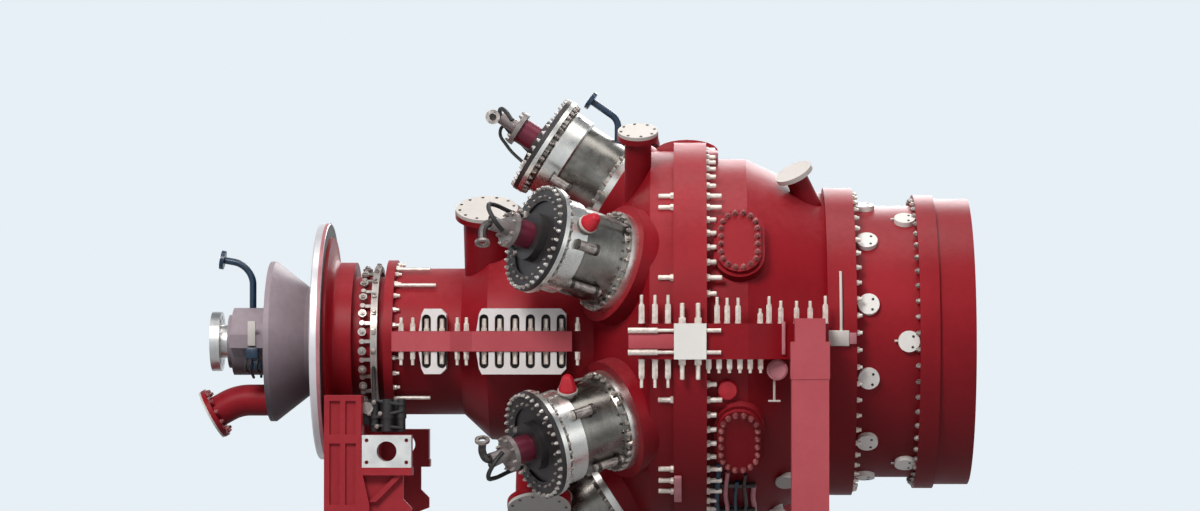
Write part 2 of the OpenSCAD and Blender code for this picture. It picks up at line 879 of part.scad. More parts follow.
module combustor_body() {
    turned([
        [0, mid_joint_x], [mid_joint_r, mid_joint_x], [head_r, head_x], [main_r, head_end_x],
        [main_r, -main_flange_t], [0, -main_flange_t]
    ]);
    main_outline([
        [head_end_x - main_split_lead, 0], [head_end_x - main_split_lead, main_r - main_split_lead],
        [head_end_x, main_split_y],
        [-main_flange_t, main_split_y], [-main_flange_t, 0]
    ]);
    for (az = can_az)
        on_can(az) translate([0, 0, -boss_d]) cylinder(h = boss_d, r = boss_r, $fn = round_fn);
}

module combustor_casing_upper() {
    color(red) intersection() {
        combustor_body();
        upper_side();
    }
}

module combustor_casing_lower() {
    color(red) intersection() {
        combustor_body();
        lower_side();
    }
}

module can(az) {
    neck_r = can_body_r + can_step_r;
    color(bare) on_can(az) rotate_extrude($fn = round_fn) polygon([
        [0, 0], [can_foot_r, 0], [can_foot_r, can_foot_t], [neck_r, can_foot_t],
        [can_body_r, can_foot_t + 2 * can_step_r], [can_body_r, can_ring_z],
        [can_ring_r, can_ring_z + can_step_r], [can_ring_r, can_flange_z - 3 * can_step_r],
        [neck_r, can_flange_z - 2 * can_step_r], [neck_r, can_flange_z], [can_flange_r, can_flange_z],
        [can_flange_r, can_top_z], [0, can_top_z]
    ]);
}

module combustor_can_1() {
    can(can_az[0]);
}

module combustor_can_2() {
    can(can_az[1]);
}

module combustor_can_3() {
    can(can_az[2]);
}

module combustor_can_4() {
    can(can_az[3]);
}

module combustor_can_5() {
    can(can_az[4]);
}

module combustor_can_6() {
    can(can_az[5]);
}

module can_end_covers() {
    top = can_top_z + end_cover_t;
    floor_z = top - end_recess_d;
    color(bare) for (az = can_az)
        on_can(az) rotate_extrude($fn = round_fn) polygon([
            [0, can_top_z], [can_flange_r, can_top_z], [can_flange_r, top], [end_recess_r, top],
            [end_recess_r, floor_z], [end_hub_r, floor_z], [end_hub_r, floor_z + end_hub_h],
            [0, floor_z + end_hub_h]
        ]);
}

module fuel_nozzles() {
    z0 = can_top_z + end_cover_t - end_recess_d + end_hub_h;
    z1 = z0 + fuel_l;
    color(steel) for (az = can_az)
        on_can(az) {
            translate([0, 0, z0]) cylinder(h = fuel_l, r = fuel_r, $fn = round_fn);
            translate([0, 0, z1]) cylinder(h = fuel_flange_t, r = fuel_flange_r, $fn = round_fn);
            translate([0, 0, z1]) cylinder(h = fuel_pipe_l, r = fuel_pipe_r, $fn = round_fn);
        }
}

module ears(x0, x1) {
    main_outline([[x0, 0], [x0, main_split_y], [x1, main_split_y], [x1, 0]]);
}

module main_flange_front() {
    color(red) union() {
        disc(-main_flange_t, 0, main_flange_r);
        ears(-main_flange_t, 0);
    }
}

module main_flange_rear() {
    color(red) union() {
        disc(0, main_flange_t, main_flange_r);
        ears(0, main_flange_t);
    }
}

module key_blocks() {
    color(pale) on_axis() mirrored()
        translate([-key_w * half, main_split_y, -key_h * half]) cube([key_w, key_t, key_h]);
}

module turbine_body() {
    turned([
        [0, main_flange_t], [turb_r, main_flange_t], [turb_r, turb_taper_x],
        [turb_end_r, exh_joint_x], [0, exh_joint_x]
    ]);
    main_outline([
        [main_flange_t, 0], [main_flange_t, main_split_y], [turb_taper_x, main_split_y],
        [exh_joint_x, turb_split_end_y], [exh_joint_x, 0]
    ]);
    for (side = [-1, 1], up = [-1, 1])
        hatch(side * (90 - up * hatch_az), turb_r - hatch_w * half, hatch_face_r - hatch_t, hatch_rim);
}

// Long round-ended plate standing on the casing
module hatch(az, from, to, grow) {
    w = hatch_w * half + grow;
    reach = (hatch_l - hatch_w) * half;
    on_axis(hatch_x, az) translate([0, 0, from]) {
        translate([0, reach, 0]) cylinder(h = to - from, r = w, $fn = round_fn);
        translate([0, -reach, 0]) cylinder(h = to - from, r = w, $fn = round_fn);
        translate([-w, -reach, 0]) cube([2 * w, 2 * reach, to - from]);
    }
}

module turbine_casing_upper() {
    color(red) intersection() {
        turbine_body();
        upper_side();
    }
}

module turbine_casing_lower() {
    color(red) intersection() {
        turbine_body();
        lower_side();
    }
}

module inspection_covers() {
    color(red) for (side = [-1, 1], up = [-1, 1])
        hatch(side * (90 - up * hatch_az), hatch_face_r - hatch_t, hatch_face_r, 0);
}

// Flanged nozzle from inside the casing out to its face
module nozzle(x, az, r, flange_r, from, face) {
    post(x, az, r, from, face);
    post(x, az, flange_r, face - bleed_flange_t, face);
}

module bleed_nozzles() {
    color(red) difference() {
        for (side = [-1, 1]) {
            nozzle(bleed_x, side * bleed_az, bleed_r, bleed_flange_r, nozzle_root_r, bleed_face_r);
            nozzle(vent_x, side * bleed_az, vent_r, vent_flange_r, head_r, vent_face_r);
            nozzle(sump_x, side * sump_az, bleed_r, bleed_flange_r, nozzle_root_r, sump_face_r);
        }
        turned([
            [0, comp_x], [comp_r + seat_gap, comp_x], [comp_r + seat_gap, flare_x],
            [flare_r + seat_gap, flare_end_x], [mid_joint_r + seat_gap, mid_joint_x],
            [head_r + seat_gap, head_x], [main_r + seat_gap, head_end_x],
            [main_r + seat_gap, -main_flange_t], [0, -main_flange_t]
        ]);
    }
}

module blanking_covers() {
    color(pale) {
        for (side = [-1, 1]) {
            blank(bleed_x, side * bleed_az, bleed_flange_r, bleed_face_r);
            blank(vent_x, side * bleed_az, vent_flange_r, vent_face_r);
            blank(sump_x, side * sump_az, bleed_flange_r, sump_face_r);
        }
        at_drain_end() translate([0, 0, drain_l])
            cylinder(h = drain_cover_t, r = drain_flange_r - blank_edge, $fn = round_fn);
    }
}

module blank(x, az, flange_r, face) {
    post(x, az, flange_r - blank_edge, face, face + blank_t);
}

// Space that the turbine casing takes up, with the seat clearance round it
module turbine_space() {
    turned([
        [0, main_flange_t], [turb_r + seat_gap, main_flange_t], [turb_r + seat_gap, turb_taper_x],
        [turb_end_r + seat_gap, exh_joint_x], [0, exh_joint_x]
    ], fine_fn);
}

module rear_nozzle() {
    taper = (turb_r - turb_end_r) / (exh_joint_x - turb_taper_x);
    surface_r = turb_r - (rear_nozzle_x - turb_taper_x) * taper;
    root = rear_nozzle_r * tan(rear_nozzle_lean + atan(taper)) + sink;
    color(red) difference() {
        on_axis(rear_nozzle_x, rear_nozzle_az) translate([0, 0, surface_r]) rotate([0, -rear_nozzle_lean, 0]) {
            translate([0, 0, -root]) cylinder(h = rear_nozzle_l + root, r = rear_nozzle_r, $fn = round_fn);
            translate([0, 0, rear_nozzle_l])
                cylinder(h = blank_t, r = rear_nozzle_r + rear_nozzle_rim, $fn = round_fn);
        }
        turbine_space();
    }
}

module exhaust_joint_flange() {
    color(red) ring(exh_joint_x, exh_x, exh_in_r, exh_joint_r);
}

module turbine_blades() {
    mid = (exh_joint_x + exh_x) * half;
    color(steel) union() {
        disc(exh_joint_x, exh_x - sink, exh_hub_r);
        for (i = [0 : turb_blades - 1])
            blade(mid, 360 * i / turb_blades, turb_turn, turb_chord, turb_blade_t, exh_hub_r - sink,
                exh_in_r - tip_gap);
    }
}

module exhaust_casing() {
    color(red) ring(exh_x, exh_flange_x, exh_in_r, exh_r);
}

module port_covers() {
    color(pale) difference() {
        union() {
            port_ring(port_x, ports);
            port_ring(rear_port_x, rear_ports);
        }
        disc(exh_x, exh_flange_x, exh_r + seat_gap);
    }
}

module port_ring(x, count) {
    for (i = [0 : count - 1])
        post(x, 360 * (i + half) / count, port_r, exh_r - port_h, exh_r + port_h);
}

module exhaust_flange() {
    color(red) ring(exh_flange_x, exh_flange_end_x, exh_in_r, exh_flange_r);
}

module exhaust_mouth() {
    color(red) difference() {
        ring(exh_flange_end_x, exh_end_x, exh_in_r, mouth_r);
        for (i = [0 : exh_holes - 1])
            hole_along(exh_end_x - exh_hole_d, 360 * (i + half) / exh_holes, exh_pitch_r, exh_hole_r,
                exh_hole_d + sink);
    }
}

module exhaust_hub() {
    x = exh_x + exh_strut_set;
    end = exh_end_x - exh_hub_back;
    end_r = exh_hub_r - exh_hub_drop;
    color(grey) union() {
        turned([
            [0, exh_x - sink], [exh_hub_r, exh_x - sink], [exh_hub_r, exh_flange_end_x], [end_r, end],
            [end_r - exh_hub_wall, end], [end_r - exh_hub_wall, end - exh_hub_d], [0, end - exh_hub_d]
        ]);
        for (i = [0 : exh_struts - 1]) difference() {
            on_axis(x, 360 * (i + half) / exh_struts) translate([0, -exh_strut_t * half, 0])
                cube([exh_strut_l, exh_strut_t, exh_in_r + sink]);
            ring(x - sink, x + exh_strut_l + sink, exh_in_r - seat_gap, exh_r);
        }
    }
}

module foot_plate(x, y) {
    difference() {
        translate([x - foot_l * half, y - foot_w * half, 0]) cube([foot_l, foot_w, foot_t]);
        for (sx = [-1, 1], sy = [-1, 1])
            translate([x + sx * anchor_x * half, y + sy * anchor_y * half, -sink])
                cylinder(h = foot_t + 2 * sink, r = anchor_r, $fn = round_fn);
    }
}

// Rear leg on the far side
module rear_leg() {
    x = joint_x + rear_leg_x;
    w = rear_leg_w;
    d = rear_leg_d;
    head_h = rear_head_top - leg_pad_h - rear_head_low;
    translate([x - w * half, rear_leg_y, axis_z + rear_head_low]) cube([w, d, head_h]);
    translate([x - lug_w * half, rear_leg_y, axis_z + rear_head_top - leg_pad_h])
        cube([lug_w, d, leg_pad_h]);
    translate([x - w * half + column_in, rear_leg_y + column_in, foot_t])
        cube([w - 2 * column_in, d - 2 * column_in, axis_z + rear_head_low - foot_t]);
    foot_plate(x, rear_leg_y + d * half);
}

module rear_leg_left() {
    color(red) rear_leg();
}

module rear_leg_right() {
    color(red) mirror([0, 1, 0]) rear_leg();
}

module casing_lugs() {
    w = main_split_t + seat_gap;
    color(red) mirrored() difference() {
        translate([joint_x + rear_leg_x - lug_w * half, rear_leg_y - lug_in, axis_z + rear_head_top])
            cube([lug_w, rear_leg_d + lug_in, lug_top - rear_head_top]);
        on_axis() translate([0, 0, -w]) linear_extrude(height = 2 * w) polygon([
            [main_flange_t, 0], [main_flange_t, main_split_y], [turb_taper_x, main_split_y + seat_gap],
            [exh_joint_x, turb_split_end_y + seat_gap], [exh_joint_x, 0]
        ]);
        turbine_space();
    }
}

// Front leg on the far side, with panels let into its outer side
module front_leg() {
    x = joint_x + front_leg_x;
    low = foot_t - axis_z;
    wide = front_leg_w + leg_flare;
    difference() {
        leg_plate(front_leg_out_y, front_leg_out_y - front_leg_y) leg_outline();
        for (px = [panel_frame, (front_leg_w + panel_frame) * half]) {
            leg_panel(x + px, leg_band_z + leg_band_h * half, front_leg_top - panel_frame);
            leg_panel(x + px, low + panel_low, leg_band_z - leg_band_h * half);
        }
    }
    foot_plate(x + wide * half, (front_leg_y + front_leg_out_y) * half);
    bracket();
}

// Outline of a front leg seen from the side
module leg_outline() {
    wide_x = front_leg_x + front_leg_w + leg_flare;
    polygon([
        [front_leg_x, foot_t - axis_z], [front_leg_x, front_leg_top],
        [front_leg_x + front_leg_w, front_leg_top], [front_leg_x + front_leg_w, leg_flare_top],
        [wide_x, leg_flare_low], [wide_x, foot_t - axis_z]
    ]);
}

// Upright plate of a given outline, with its outer face at y
module leg_plate(y, t) {
    on_axis() translate([0, y, 0]) rotate([90, 0, 0]) linear_extrude(height = t) children();
}

// Cut for one panel, between two heights from the shaft line
module leg_panel(x, z0, z1) {
    translate([x, front_leg_out_y - panel_d, axis_z + z0])
        cube([(front_leg_w - 3 * panel_frame) * half, 2 * panel_d, z1 - z0]);
}

// Bracket on the rear side of the front leg that holds the support plate
module bracket() {
    x0 = front_leg_x + front_leg_w;
    x1 = plate_x + plate_w * half;
    low = plate_z - plate_h * half;
    under = low - ledge_t;
    web_x = x1 - web_in;
    y = front_leg_out_y - plate_t;
    difference() {
        leg_plate(y, bracket_d) polygon([[x0, low], [x1, low], [x1, low + plate_h], [x0, low + plate_h]]);
        at_plate() cylinder(h = big, r = plate_bore_r, center = true, $fn = round_fn);
    }
    leg_plate(front_leg_out_y, bracket_d + plate_t)
        polygon([[x0, under], [x1 + ledge_out, under], [x1 + ledge_out, low], [x0, low]]);
    leg_plate(y - web_t, web_t) polygon([
        [x0, under], [web_x, under], [web_x, under - web_h], [x1, under - web_h - web_in],
        [x1, under - web_h - web_low_h], [x0, under - web_h - 2 * web_low_h]
    ]);
    leg_plate(y, 2 * web_t) polygon([
        [web_x, under], [web_x - brace_w, under], [web_x - brace_w - brace_run, under - brace_run],
        [web_x - brace_run, under - brace_run]
    ]);
}

// Middle of the support plate, with Z across the machine
module at_plate() {
    on_axis(plate_x) translate([0, front_leg_out_y, plate_z]) rotate([-90, 0, 0]) children();
}

module front_leg_left() {
    color(red) front_leg();
}

module front_leg_right() {
    color(red) mirror([0, 1, 0]) front_leg();
}

module front_cradle() {
    w = front_leg_y - seat_gap;
    l = intake_end_x - front_leg_x;
    color(red) difference() {
        on_axis(front_leg_x) translate([0, -w, cradle_low]) cube([l, 2 * w, cradle_top - cradle_low]);
        disc(front_leg_x - sink, intake_end_x + sink, intake_r + seat_gap);
    }
}

module support_plate() {
    w = plate_w * half;
    h = plate_h * half;
    difference() {
        leg_plate(front_leg_out_y, plate_t) polygon([
            [plate_x - w, plate_z - h], [plate_x + w, plate_z - h],
            [plate_x + w, plate_z + h], [plate_x - w, plate_z + h]
        ]);
        at_plate() cylinder(h = big, r = plate_bore_r, center = true, $fn = round_fn);
        for (sx = [-1, 1], sz = [-1, 1])
            at_plate() translate([sx * plate_pitch_x * half, sz * plate_pitch_z * half, 0])
                cylinder(h = big, r = plate_hole_r, center = true, $fn = round_fn);
    }
}

module support_plate_left() {
    color(steel) support_plate();
}

module support_plate_right() {
    color(steel) mirror([0, 1, 0]) support_plate();
}

// Bend in the XZ plane, starting at the origin along Z and turning towards -X
module bend(angle, turn_r, r) {
    translate([-turn_r, 0, 0]) rotate([90, 0, 0])
        rotate_extrude(angle = angle, $fn = round_fn) translate([turn_r, 0]) circle(r = r, $fn = round_fn);
}

// Place and direction at the end of such a bend
module bend_end(angle, turn_r) {
    translate([-turn_r, 0, 0]) rotate([0, -angle, 0]) translate([turn_r, 0, 0]) children();
}

// Pipe mouth with its flange, from the origin along Z
module pipe_mouth(l) {
    difference() {
        union() {
            cylinder(h = l, r = pipe_r, $fn = round_fn);
            translate([0, 0, l - pipe_flange_t]) cylinder(h = pipe_flange_t, r = pipe_flange_r, $fn = round_fn);
        }
        translate([0, 0, l - mouth_bore_d]) cylinder(h = mouth_bore_d + sink, r = mouth_bore_r, $fn = round_fn);
    }
}

module vent_pipe() {
    color(navy) on_axis(bearing_x + vent_pipe_set) {
        difference() {
            cylinder(h = bearing_r + vent_pipe_rise, r = pipe_r, $fn = round_fn);
            rotate([0, 90, 0]) cylinder(h = big, r = bearing_r + seat_gap, center = true, $fn = round_fn);
        }
        translate([0, 0, bearing_r + vent_pipe_rise]) {
            bend(vent_turn, vent_bend_r, pipe_r);
            bend_end(vent_turn, vent_bend_r) pipe_mouth(vent_pipe_l);
        }
    }
}

module top_pipe() {
    axis_over = can_r + (can_x - top_pipe_x) * tan(can_lean);
    surface = axis_over + can_body_r / cos(can_lean);
    color(navy) on_axis(top_pipe_x) {
        difference() {
            translate([0, 0, axis_over])
                cylinder(h = surface + top_pipe_rise - axis_over, r = pipe_r, $fn = round_fn);
            translate([-top_pipe_x, 0, 0]) translate([can_x, 0, can_r]) rotate([0, can_lean - 90, 0])
                cylinder(h = 2 * can_top_z, r = can_body_r + seat_gap, center = true, $fn = round_fn);
        }
        translate([0, 0, surface + top_pipe_rise]) {
            bend(top_turn, top_bend_r, pipe_r);
            bend_end(top_turn, top_bend_r) pipe_mouth(top_pipe_l);
        }
    }
}

// End of the drain duct's bend, with Z along the duct
module at_drain_end() {
    on_axis(cone_x + cover_set - drain_level) translate([0, 0, -drain_z]) rotate([0, -90, 0])
        bend_end(drain_turn, drain_bend_r) children();
}

module drain_duct() {
    color(red) {
        on_axis(cone_x + cover_set - drain_level) translate([0, 0, -drain_z]) {
            rotate([0, 90, 0]) cylinder(h = drain_level, r = drain_r, $fn = round_fn);
            rotate([0, -90, 0]) bend(drain_turn, drain_bend_r, drain_r);
        }
        at_drain_end() {
            cylinder(h = drain_l, r = drain_r, $fn = round_fn);
            translate([0, 0, drain_l - drain_flange_t])
                cylinder(h = drain_flange_t, r = drain_flange_r, $fn = round_fn);
        }
    }
}

shaft_coupling();
bearing_housing();
cone_cover();
intake_cone();
intake_struts();
bellmouth_ring();
intake_casing();
vane_drum();
guide_vanes();
vane_levers();
unison_ring();
compressor_blades();
compressor_flange();
compressor_casing_upper();
compressor_casing_lower();
stud_pockets_upper();
stud_pockets_lower();
combustor_casing_upper();
combustor_casing_lower();
combustor_can_1();
combustor_can_2();
combustor_can_3();
combustor_can_4();
combustor_can_5();
combustor_can_6();
can_end_covers();
fuel_nozzles();
main_flange_front();
main_flange_rear();
key_blocks();
turbine_casing_upper();
turbine_casing_lower();
inspection_covers();
bleed_nozzles();
blanking_covers();
rear_nozzle();
exhaust_joint_flange();
turbine_blades();
exhaust_casing();
port_covers();
exhaust_flange();
exhaust_mouth();
exhaust_hub();
rear_leg_left();
rear_leg_right();
casing_lugs();
front_leg_left();
front_leg_right();
front_cradle();
support_plate_left();
support_plate_right();
vent_pipe();
top_pipe();
drain_duct();
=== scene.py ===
"""Looks of a heavy-duty gas turbine on its support legs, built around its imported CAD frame."""

import json
import logging
import math
from dataclasses import dataclass, field
from enum import Enum
from functools import cached_property
from typing import Any, Iterable, Sequence

import bmesh
import bpy
from mathutils import Matrix, Vector

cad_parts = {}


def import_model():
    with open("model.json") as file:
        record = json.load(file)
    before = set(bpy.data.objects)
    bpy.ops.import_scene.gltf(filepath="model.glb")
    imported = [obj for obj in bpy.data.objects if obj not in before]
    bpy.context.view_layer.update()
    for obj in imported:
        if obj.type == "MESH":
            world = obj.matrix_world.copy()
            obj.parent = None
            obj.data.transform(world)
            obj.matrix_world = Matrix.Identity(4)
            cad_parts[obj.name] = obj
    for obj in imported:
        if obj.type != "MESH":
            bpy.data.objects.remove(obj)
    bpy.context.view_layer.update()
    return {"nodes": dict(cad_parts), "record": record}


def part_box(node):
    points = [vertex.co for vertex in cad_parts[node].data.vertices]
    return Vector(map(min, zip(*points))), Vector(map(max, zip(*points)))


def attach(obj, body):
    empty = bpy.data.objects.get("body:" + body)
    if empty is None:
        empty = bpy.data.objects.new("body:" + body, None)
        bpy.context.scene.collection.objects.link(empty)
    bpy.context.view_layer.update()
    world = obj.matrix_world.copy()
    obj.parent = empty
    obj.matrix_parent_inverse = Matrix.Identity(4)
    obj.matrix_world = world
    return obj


LOG = logging.getLogger("gas_turbine")
BODY = "root"
# Distance within which the points of a seam are merged
MERGE = 1e-6
# A can's mounting face as station, sideways place and distance from the shaft
# Then the cans' lean and spacing, in degrees
CAN_FACE = (-0.486, 0.0, 0.966)
CAN_LEAN = 33.0
CAN_STEP = 60.0
# Station where the turbine casing starts to narrow, and its radius in front of there
TAPER_X = 0.352
TURBINE_R = 1.165

Colour = tuple[float, float, float]
Point = tuple[float, float, float]
Pairs = Sequence[tuple[float, float]]
Rows = Sequence[tuple[float, ...]]
Profile = Pairs
Socket = bpy.types.NodeSocket


class Side(float, Enum):
    """Side of the machine, as the sign of Y."""

    RIGHT = -1.0
    LEFT = 1.0


class Heading(float, Enum):
    """Way a fastener points along the shaft, as its turn about Y in degrees."""

    FORWARD = -90.0
    REARWARD = 90.0


# Places and objects


def shift(x: float = 0.0, y: float = 0.0, z: float = 0.0) -> Matrix:
    """Place moved from the origin."""
    return Matrix.Translation((x, y, z))


def turn(degrees: float, axis: str) -> Matrix:
    """Place turned about an axis."""
    return Matrix.Rotation(math.radians(degrees), 4, axis)


def arch(width: float, height: float, base: float = 0.0) -> list[tuple[float, float]]:
    """Points of a half ellipse over a base line."""
    turns = [math.radians(15 * number) for number in range(13)]
    return [(width * math.cos(t), base + height * math.sin(t)) for t in turns]


def add_object(name: str, data: bpy.types.ID) -> bpy.types.Object:
    """Makes an object in the scene.

    Args:
        name: Name of the object.
        data: Its mesh, camera or light.

    Returns:
        The object.
    """
    item = bpy.data.objects.new(name, data)
    bpy.context.scene.collection.objects.link(item)
    return item


@dataclass(frozen=True)
class Span:
    """Stations of both faces and radius of a CAD node that is round about the shaft."""

    front: float
    rear: float
    radius: float


@dataclass(frozen=True)
class Shaft:
    """Shaft line and main vertical joint, which every station is counted from, in metres."""

    joint_x: float
    axis_z: float

    @classmethod
    def from_frame(cls) -> "Shaft":
        """Reads the joint and the shaft's height from the main flange's box."""
        low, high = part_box("main_flange_front")
        return cls(high.x, (low.z + high.z) / 2)

    def span(self, node: str) -> Span:
        """Reads the span of a CAD node from the frame."""
        low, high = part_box(node)
        return Span(low.x - self.joint_x, high.x - self.joint_x, (high.z - low.z) / 2)

    def at(self, x: float, az: float = 0.0, out: float = 0.0) -> Matrix:
        """Place at a station and an angle from the top towards the right side, with Z away from the shaft."""
        return shift(self.joint_x + x, 0, self.axis_z) @ turn(az, "X") @ shift(z=out)

    def along(self, x: float, az: float, out: float, heading: Heading) -> Matrix:
        """Place at a station, an angle and a distance from the shaft, with Z along the shaft."""
        return self.at(x, az, out) @ turn(heading, "Y")

    def upright(self, x: float, y: float, z: float, down: bool = False) -> Matrix:
        """Place at a station, to the left and over the shaft line, with Z up or down."""
        return shift(self.joint_x + x, y, self.axis_z + z) @ turn(180 * down, "X")

    def outwards(self, x: float, z: float, y: float, side: Side) -> Matrix:
        """Place on a side face, with Z pointing straight out of it and X kept."""
        return shift(self.joint_x + x, side * y, self.axis_z + z) @ turn(-90 * side, "X")


# Meshes


class Forge:
    """Gathers shapes in one mesh."""

    sharp_angle: float = math.radians(32)

    def __init__(self) -> None:
        """Starts an empty mesh."""
        self.bm = bmesh.new()

    def absorb(self, other: "Forge", place: Matrix) -> None:
        """Adds a copy of another forge's shapes at a place."""
        self._take(other.bm, place)

    def cylinder(
        self, place: Matrix, r: float, h: float, sides: int = 20, top_r: float | None = None,
    ) -> None:
        """Adds a closed cylinder or cone from the place outwards along its Z.

        Args:
            place: Middle of the foot.
            r: Radius at the foot.
            h: Height.
            sides: Number of sides.
            top_r: Radius at the top, the foot's if left out.
        """
        bmesh.ops.create_cone(
            self.bm, cap_ends=True, cap_tris=False, segments=sides, radius1=r,
            radius2=r if top_r is None else top_r, depth=h, matrix=place @ shift(z=h / 2),
        )

    def lathe(self, place: Matrix, profile: Profile, steps: int = 32) -> None:
        """Adds a closed solid turned about the place's Z.

        Args:
            place: Where the solid's origin goes.
            profile: Radius and height of each point, both ends on the axis or the profile closed.
            steps: Number of segments around.
        """
        part = bmesh.new()
        verts = [part.verts.new((r, 0, z)) for r, z in profile]
        edges = [part.edges.new(pair) for pair in zip(verts, verts[1:])]
        if profile[0][0] > 0:
            edges.append(part.edges.new((verts[-1], verts[0])))
        bmesh.ops.spin(
            part, geom=verts + edges, cent=(0, 0, 0), axis=(0, 0, 1), dvec=(0, 0, 0), angle=math.tau,
            steps=steps, use_merge=True,
        )
        self._close(part, place)

    def block(self, place: Matrix, size: Point, bevel: float) -> None:
        """Adds a block centred on the place.

        Args:
            place: Middle of the block.
            size: Length, width and height.
            bevel: Width of the rounded edges.
        """
        part = bmesh.new()
        bmesh.ops.create_cube(part, size=1.0, matrix=Matrix.Diagonal((*size, 1.0)))
        self._round(part, bevel)
        self._take(part, place)
        part.free()

    def slab(self, place: Matrix, outline: Profile, thick: float, bevel: float = 0.0) -> None:
        """Adds a flat plate from its outline.

        Args:
            place: Where the outline's plane goes.
            outline: Corners of the outline.
            thick: Thickness along Z.
            bevel: Width of the rounded edges.
        """
        part = bmesh.new()
        face = part.faces.new([part.verts.new((x, y, 0)) for x, y in outline])
        grown = bmesh.ops.extrude_face_region(part, geom=[face])["geom"]
        top = [item for item in grown if isinstance(item, bmesh.types.BMVert)]
        bmesh.ops.translate(part, verts=top, vec=(0, 0, thick))
        bmesh.ops.recalc_face_normals(part, faces=part.faces)
        if bevel:
            self._round(part, bevel)
        self._take(part, place)
        part.free()

    def tube(self, points: Sequence[Point | Vector], r: float, place: Matrix = Matrix.Identity(4)) -> None:
        """Adds a round rod or pipe along a smooth path, closed at both ends.

        Args:
            points: Points that the path passes through.
            r: Radius.
            place: Where the path's origin goes.
        """
        curve = bpy.data.curves.new("path", "CURVE")
        curve.dimensions = "3D"
        curve.bevel_depth = r
        curve.bevel_resolution = 2
        curve.use_fill_caps = True
        curve.resolution_u = 6
        spline = curve.splines.new("BEZIER")
        spline.bezier_points.add(len(points) - 1)
        for knot, point in zip(spline.bezier_points, points):
            knot.co = point
            knot.handle_left_type = knot.handle_right_type = "AUTO" if len(points) > 2 else "VECTOR"
        holder = bpy.data.objects.new("path", curve)
        mesh = bpy.data.meshes.new_from_object(holder)
        mesh.transform(place)
        part = bmesh.new()
        part.from_mesh(mesh)
        self._close(part, Matrix.Identity(4))
        bpy.data.meshes.remove(mesh)
        bpy.data.objects.remove(holder)
        bpy.data.curves.remove(curve)

    def ring(self, count: int) -> None:
        """Repeats everything gathered so far evenly about the Z axis.

        Args:
            count: Number of copies around, the first included.
        """
        bmesh.ops.spin(
            self.bm, geom=self.bm.verts[:] + self.bm.edges[:] + self.bm.faces[:], cent=(0, 0, 0),
            axis=(0, 0, 1), dvec=(0, 0, 0), angle=math.tau * (count - 1) / count,
            steps=count - 1, use_duplicate=True,
        )

    def piece(self, name: str, finish: "Finish", slot: str = "") -> None:
        """Makes the scene's object of what was gathered and lets it ride on the machine.

        Args:
            name: Name of the piece.
            finish: Finish of its surface.
            slot: The record's material slot, the finish's own if left out; not used.
        """
        for face in self.bm.faces:
            face.smooth = True
        for edge in self.bm.edges:
            edge.smooth = edge.is_manifold and edge.calc_face_angle(0.0) < self.sharp_angle
        mesh = bpy.data.meshes.new(name)
        self.bm.to_mesh(mesh)
        self.bm.free()
        mesh.materials.append(finish.material)
        item = add_object(name, mesh)
        slot = slot or finish.slot
        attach(item, BODY)
        LOG.info("%s: %d faces", name, len(mesh.polygons))

    def _take(self, part: bmesh.types.BMesh, place: Matrix) -> None:
        """Copies a mesh into this one.

        Args:
            part: The mesh.
            place: Where the copy goes.
        """
        mesh = bpy.data.meshes.new("part")
        part.to_mesh(mesh)
        mesh.transform(place)
        self.bm.from_mesh(mesh)
        bpy.data.meshes.remove(mesh)

    def _close(self, part: bmesh.types.BMesh, place: Matrix) -> None:
        """Merges a part's seams, turns its faces outwards and moves it into this mesh.

        Args:
            part: The part.
            place: Where it goes.
        """
        bmesh.ops.remove_doubles(part, verts=part.verts, dist=MERGE)
        bmesh.ops.recalc_face_normals(part, faces=part.faces)
        self._take(part, place)
        part.free()

    def _round(self, part: bmesh.types.BMesh, width: float) -> None:
        """Bevels every edge of a part."""
        bmesh.ops.bevel(
            part, geom=part.edges[:], offset=width, segments=2, profile=0.5, affect="EDGES", material=-1,
            clamp_overlap=True,
        )


@dataclass(frozen=True)
class Nut:
    """Hexagon nut on a washer, with the stud's end standing out of it."""

    across: float
    height: float
    stud_r: float
    stud_out: float
    washer_share: float = 0.1
    crown_share: float = 0.12

    def forge(self) -> Forge:
        """Builds the nut on the XY plane, pointing along Z.

        Returns:
            Forge that holds the nut.
        """
        corner = self.across / math.sqrt(3)
        washer, crown = self.washer_share * self.height, self.crown_share * self.height
        tip = min(self.stud_r / 4, self.stud_out / 2)
        forge, z = Forge(), 0.0
        for r, top_r, h, sides in (
            (corner * 1.06, None, washer, 14), (corner, None, self.height - washer - crown, 6),
            (corner, corner * 0.86, crown, 6), (self.stud_r, None, self.stud_out - tip, 10),
            (self.stud_r, self.stud_r - tip, tip, 10),
        ):
            forge.cylinder(shift(z=z), r, h, sides, top_r)
            z += h
        return forge


@dataclass(frozen=True)
class BoltCircle:
    """Nuts spaced evenly on a circle about Z."""

    nut: Nut
    count: int
    pitch_r: float
    start: float = 0.0

    def forge(self) -> Forge:
        """Builds the circle on the XY plane.

        Returns:
            Forge that holds the circle.
        """
        forge = Forge()
        forge.absorb(self.nut.forge(), turn(self.start, "Z") @ shift(self.pitch_r))
        forge.ring(self.count)
        return forge


# Finishes


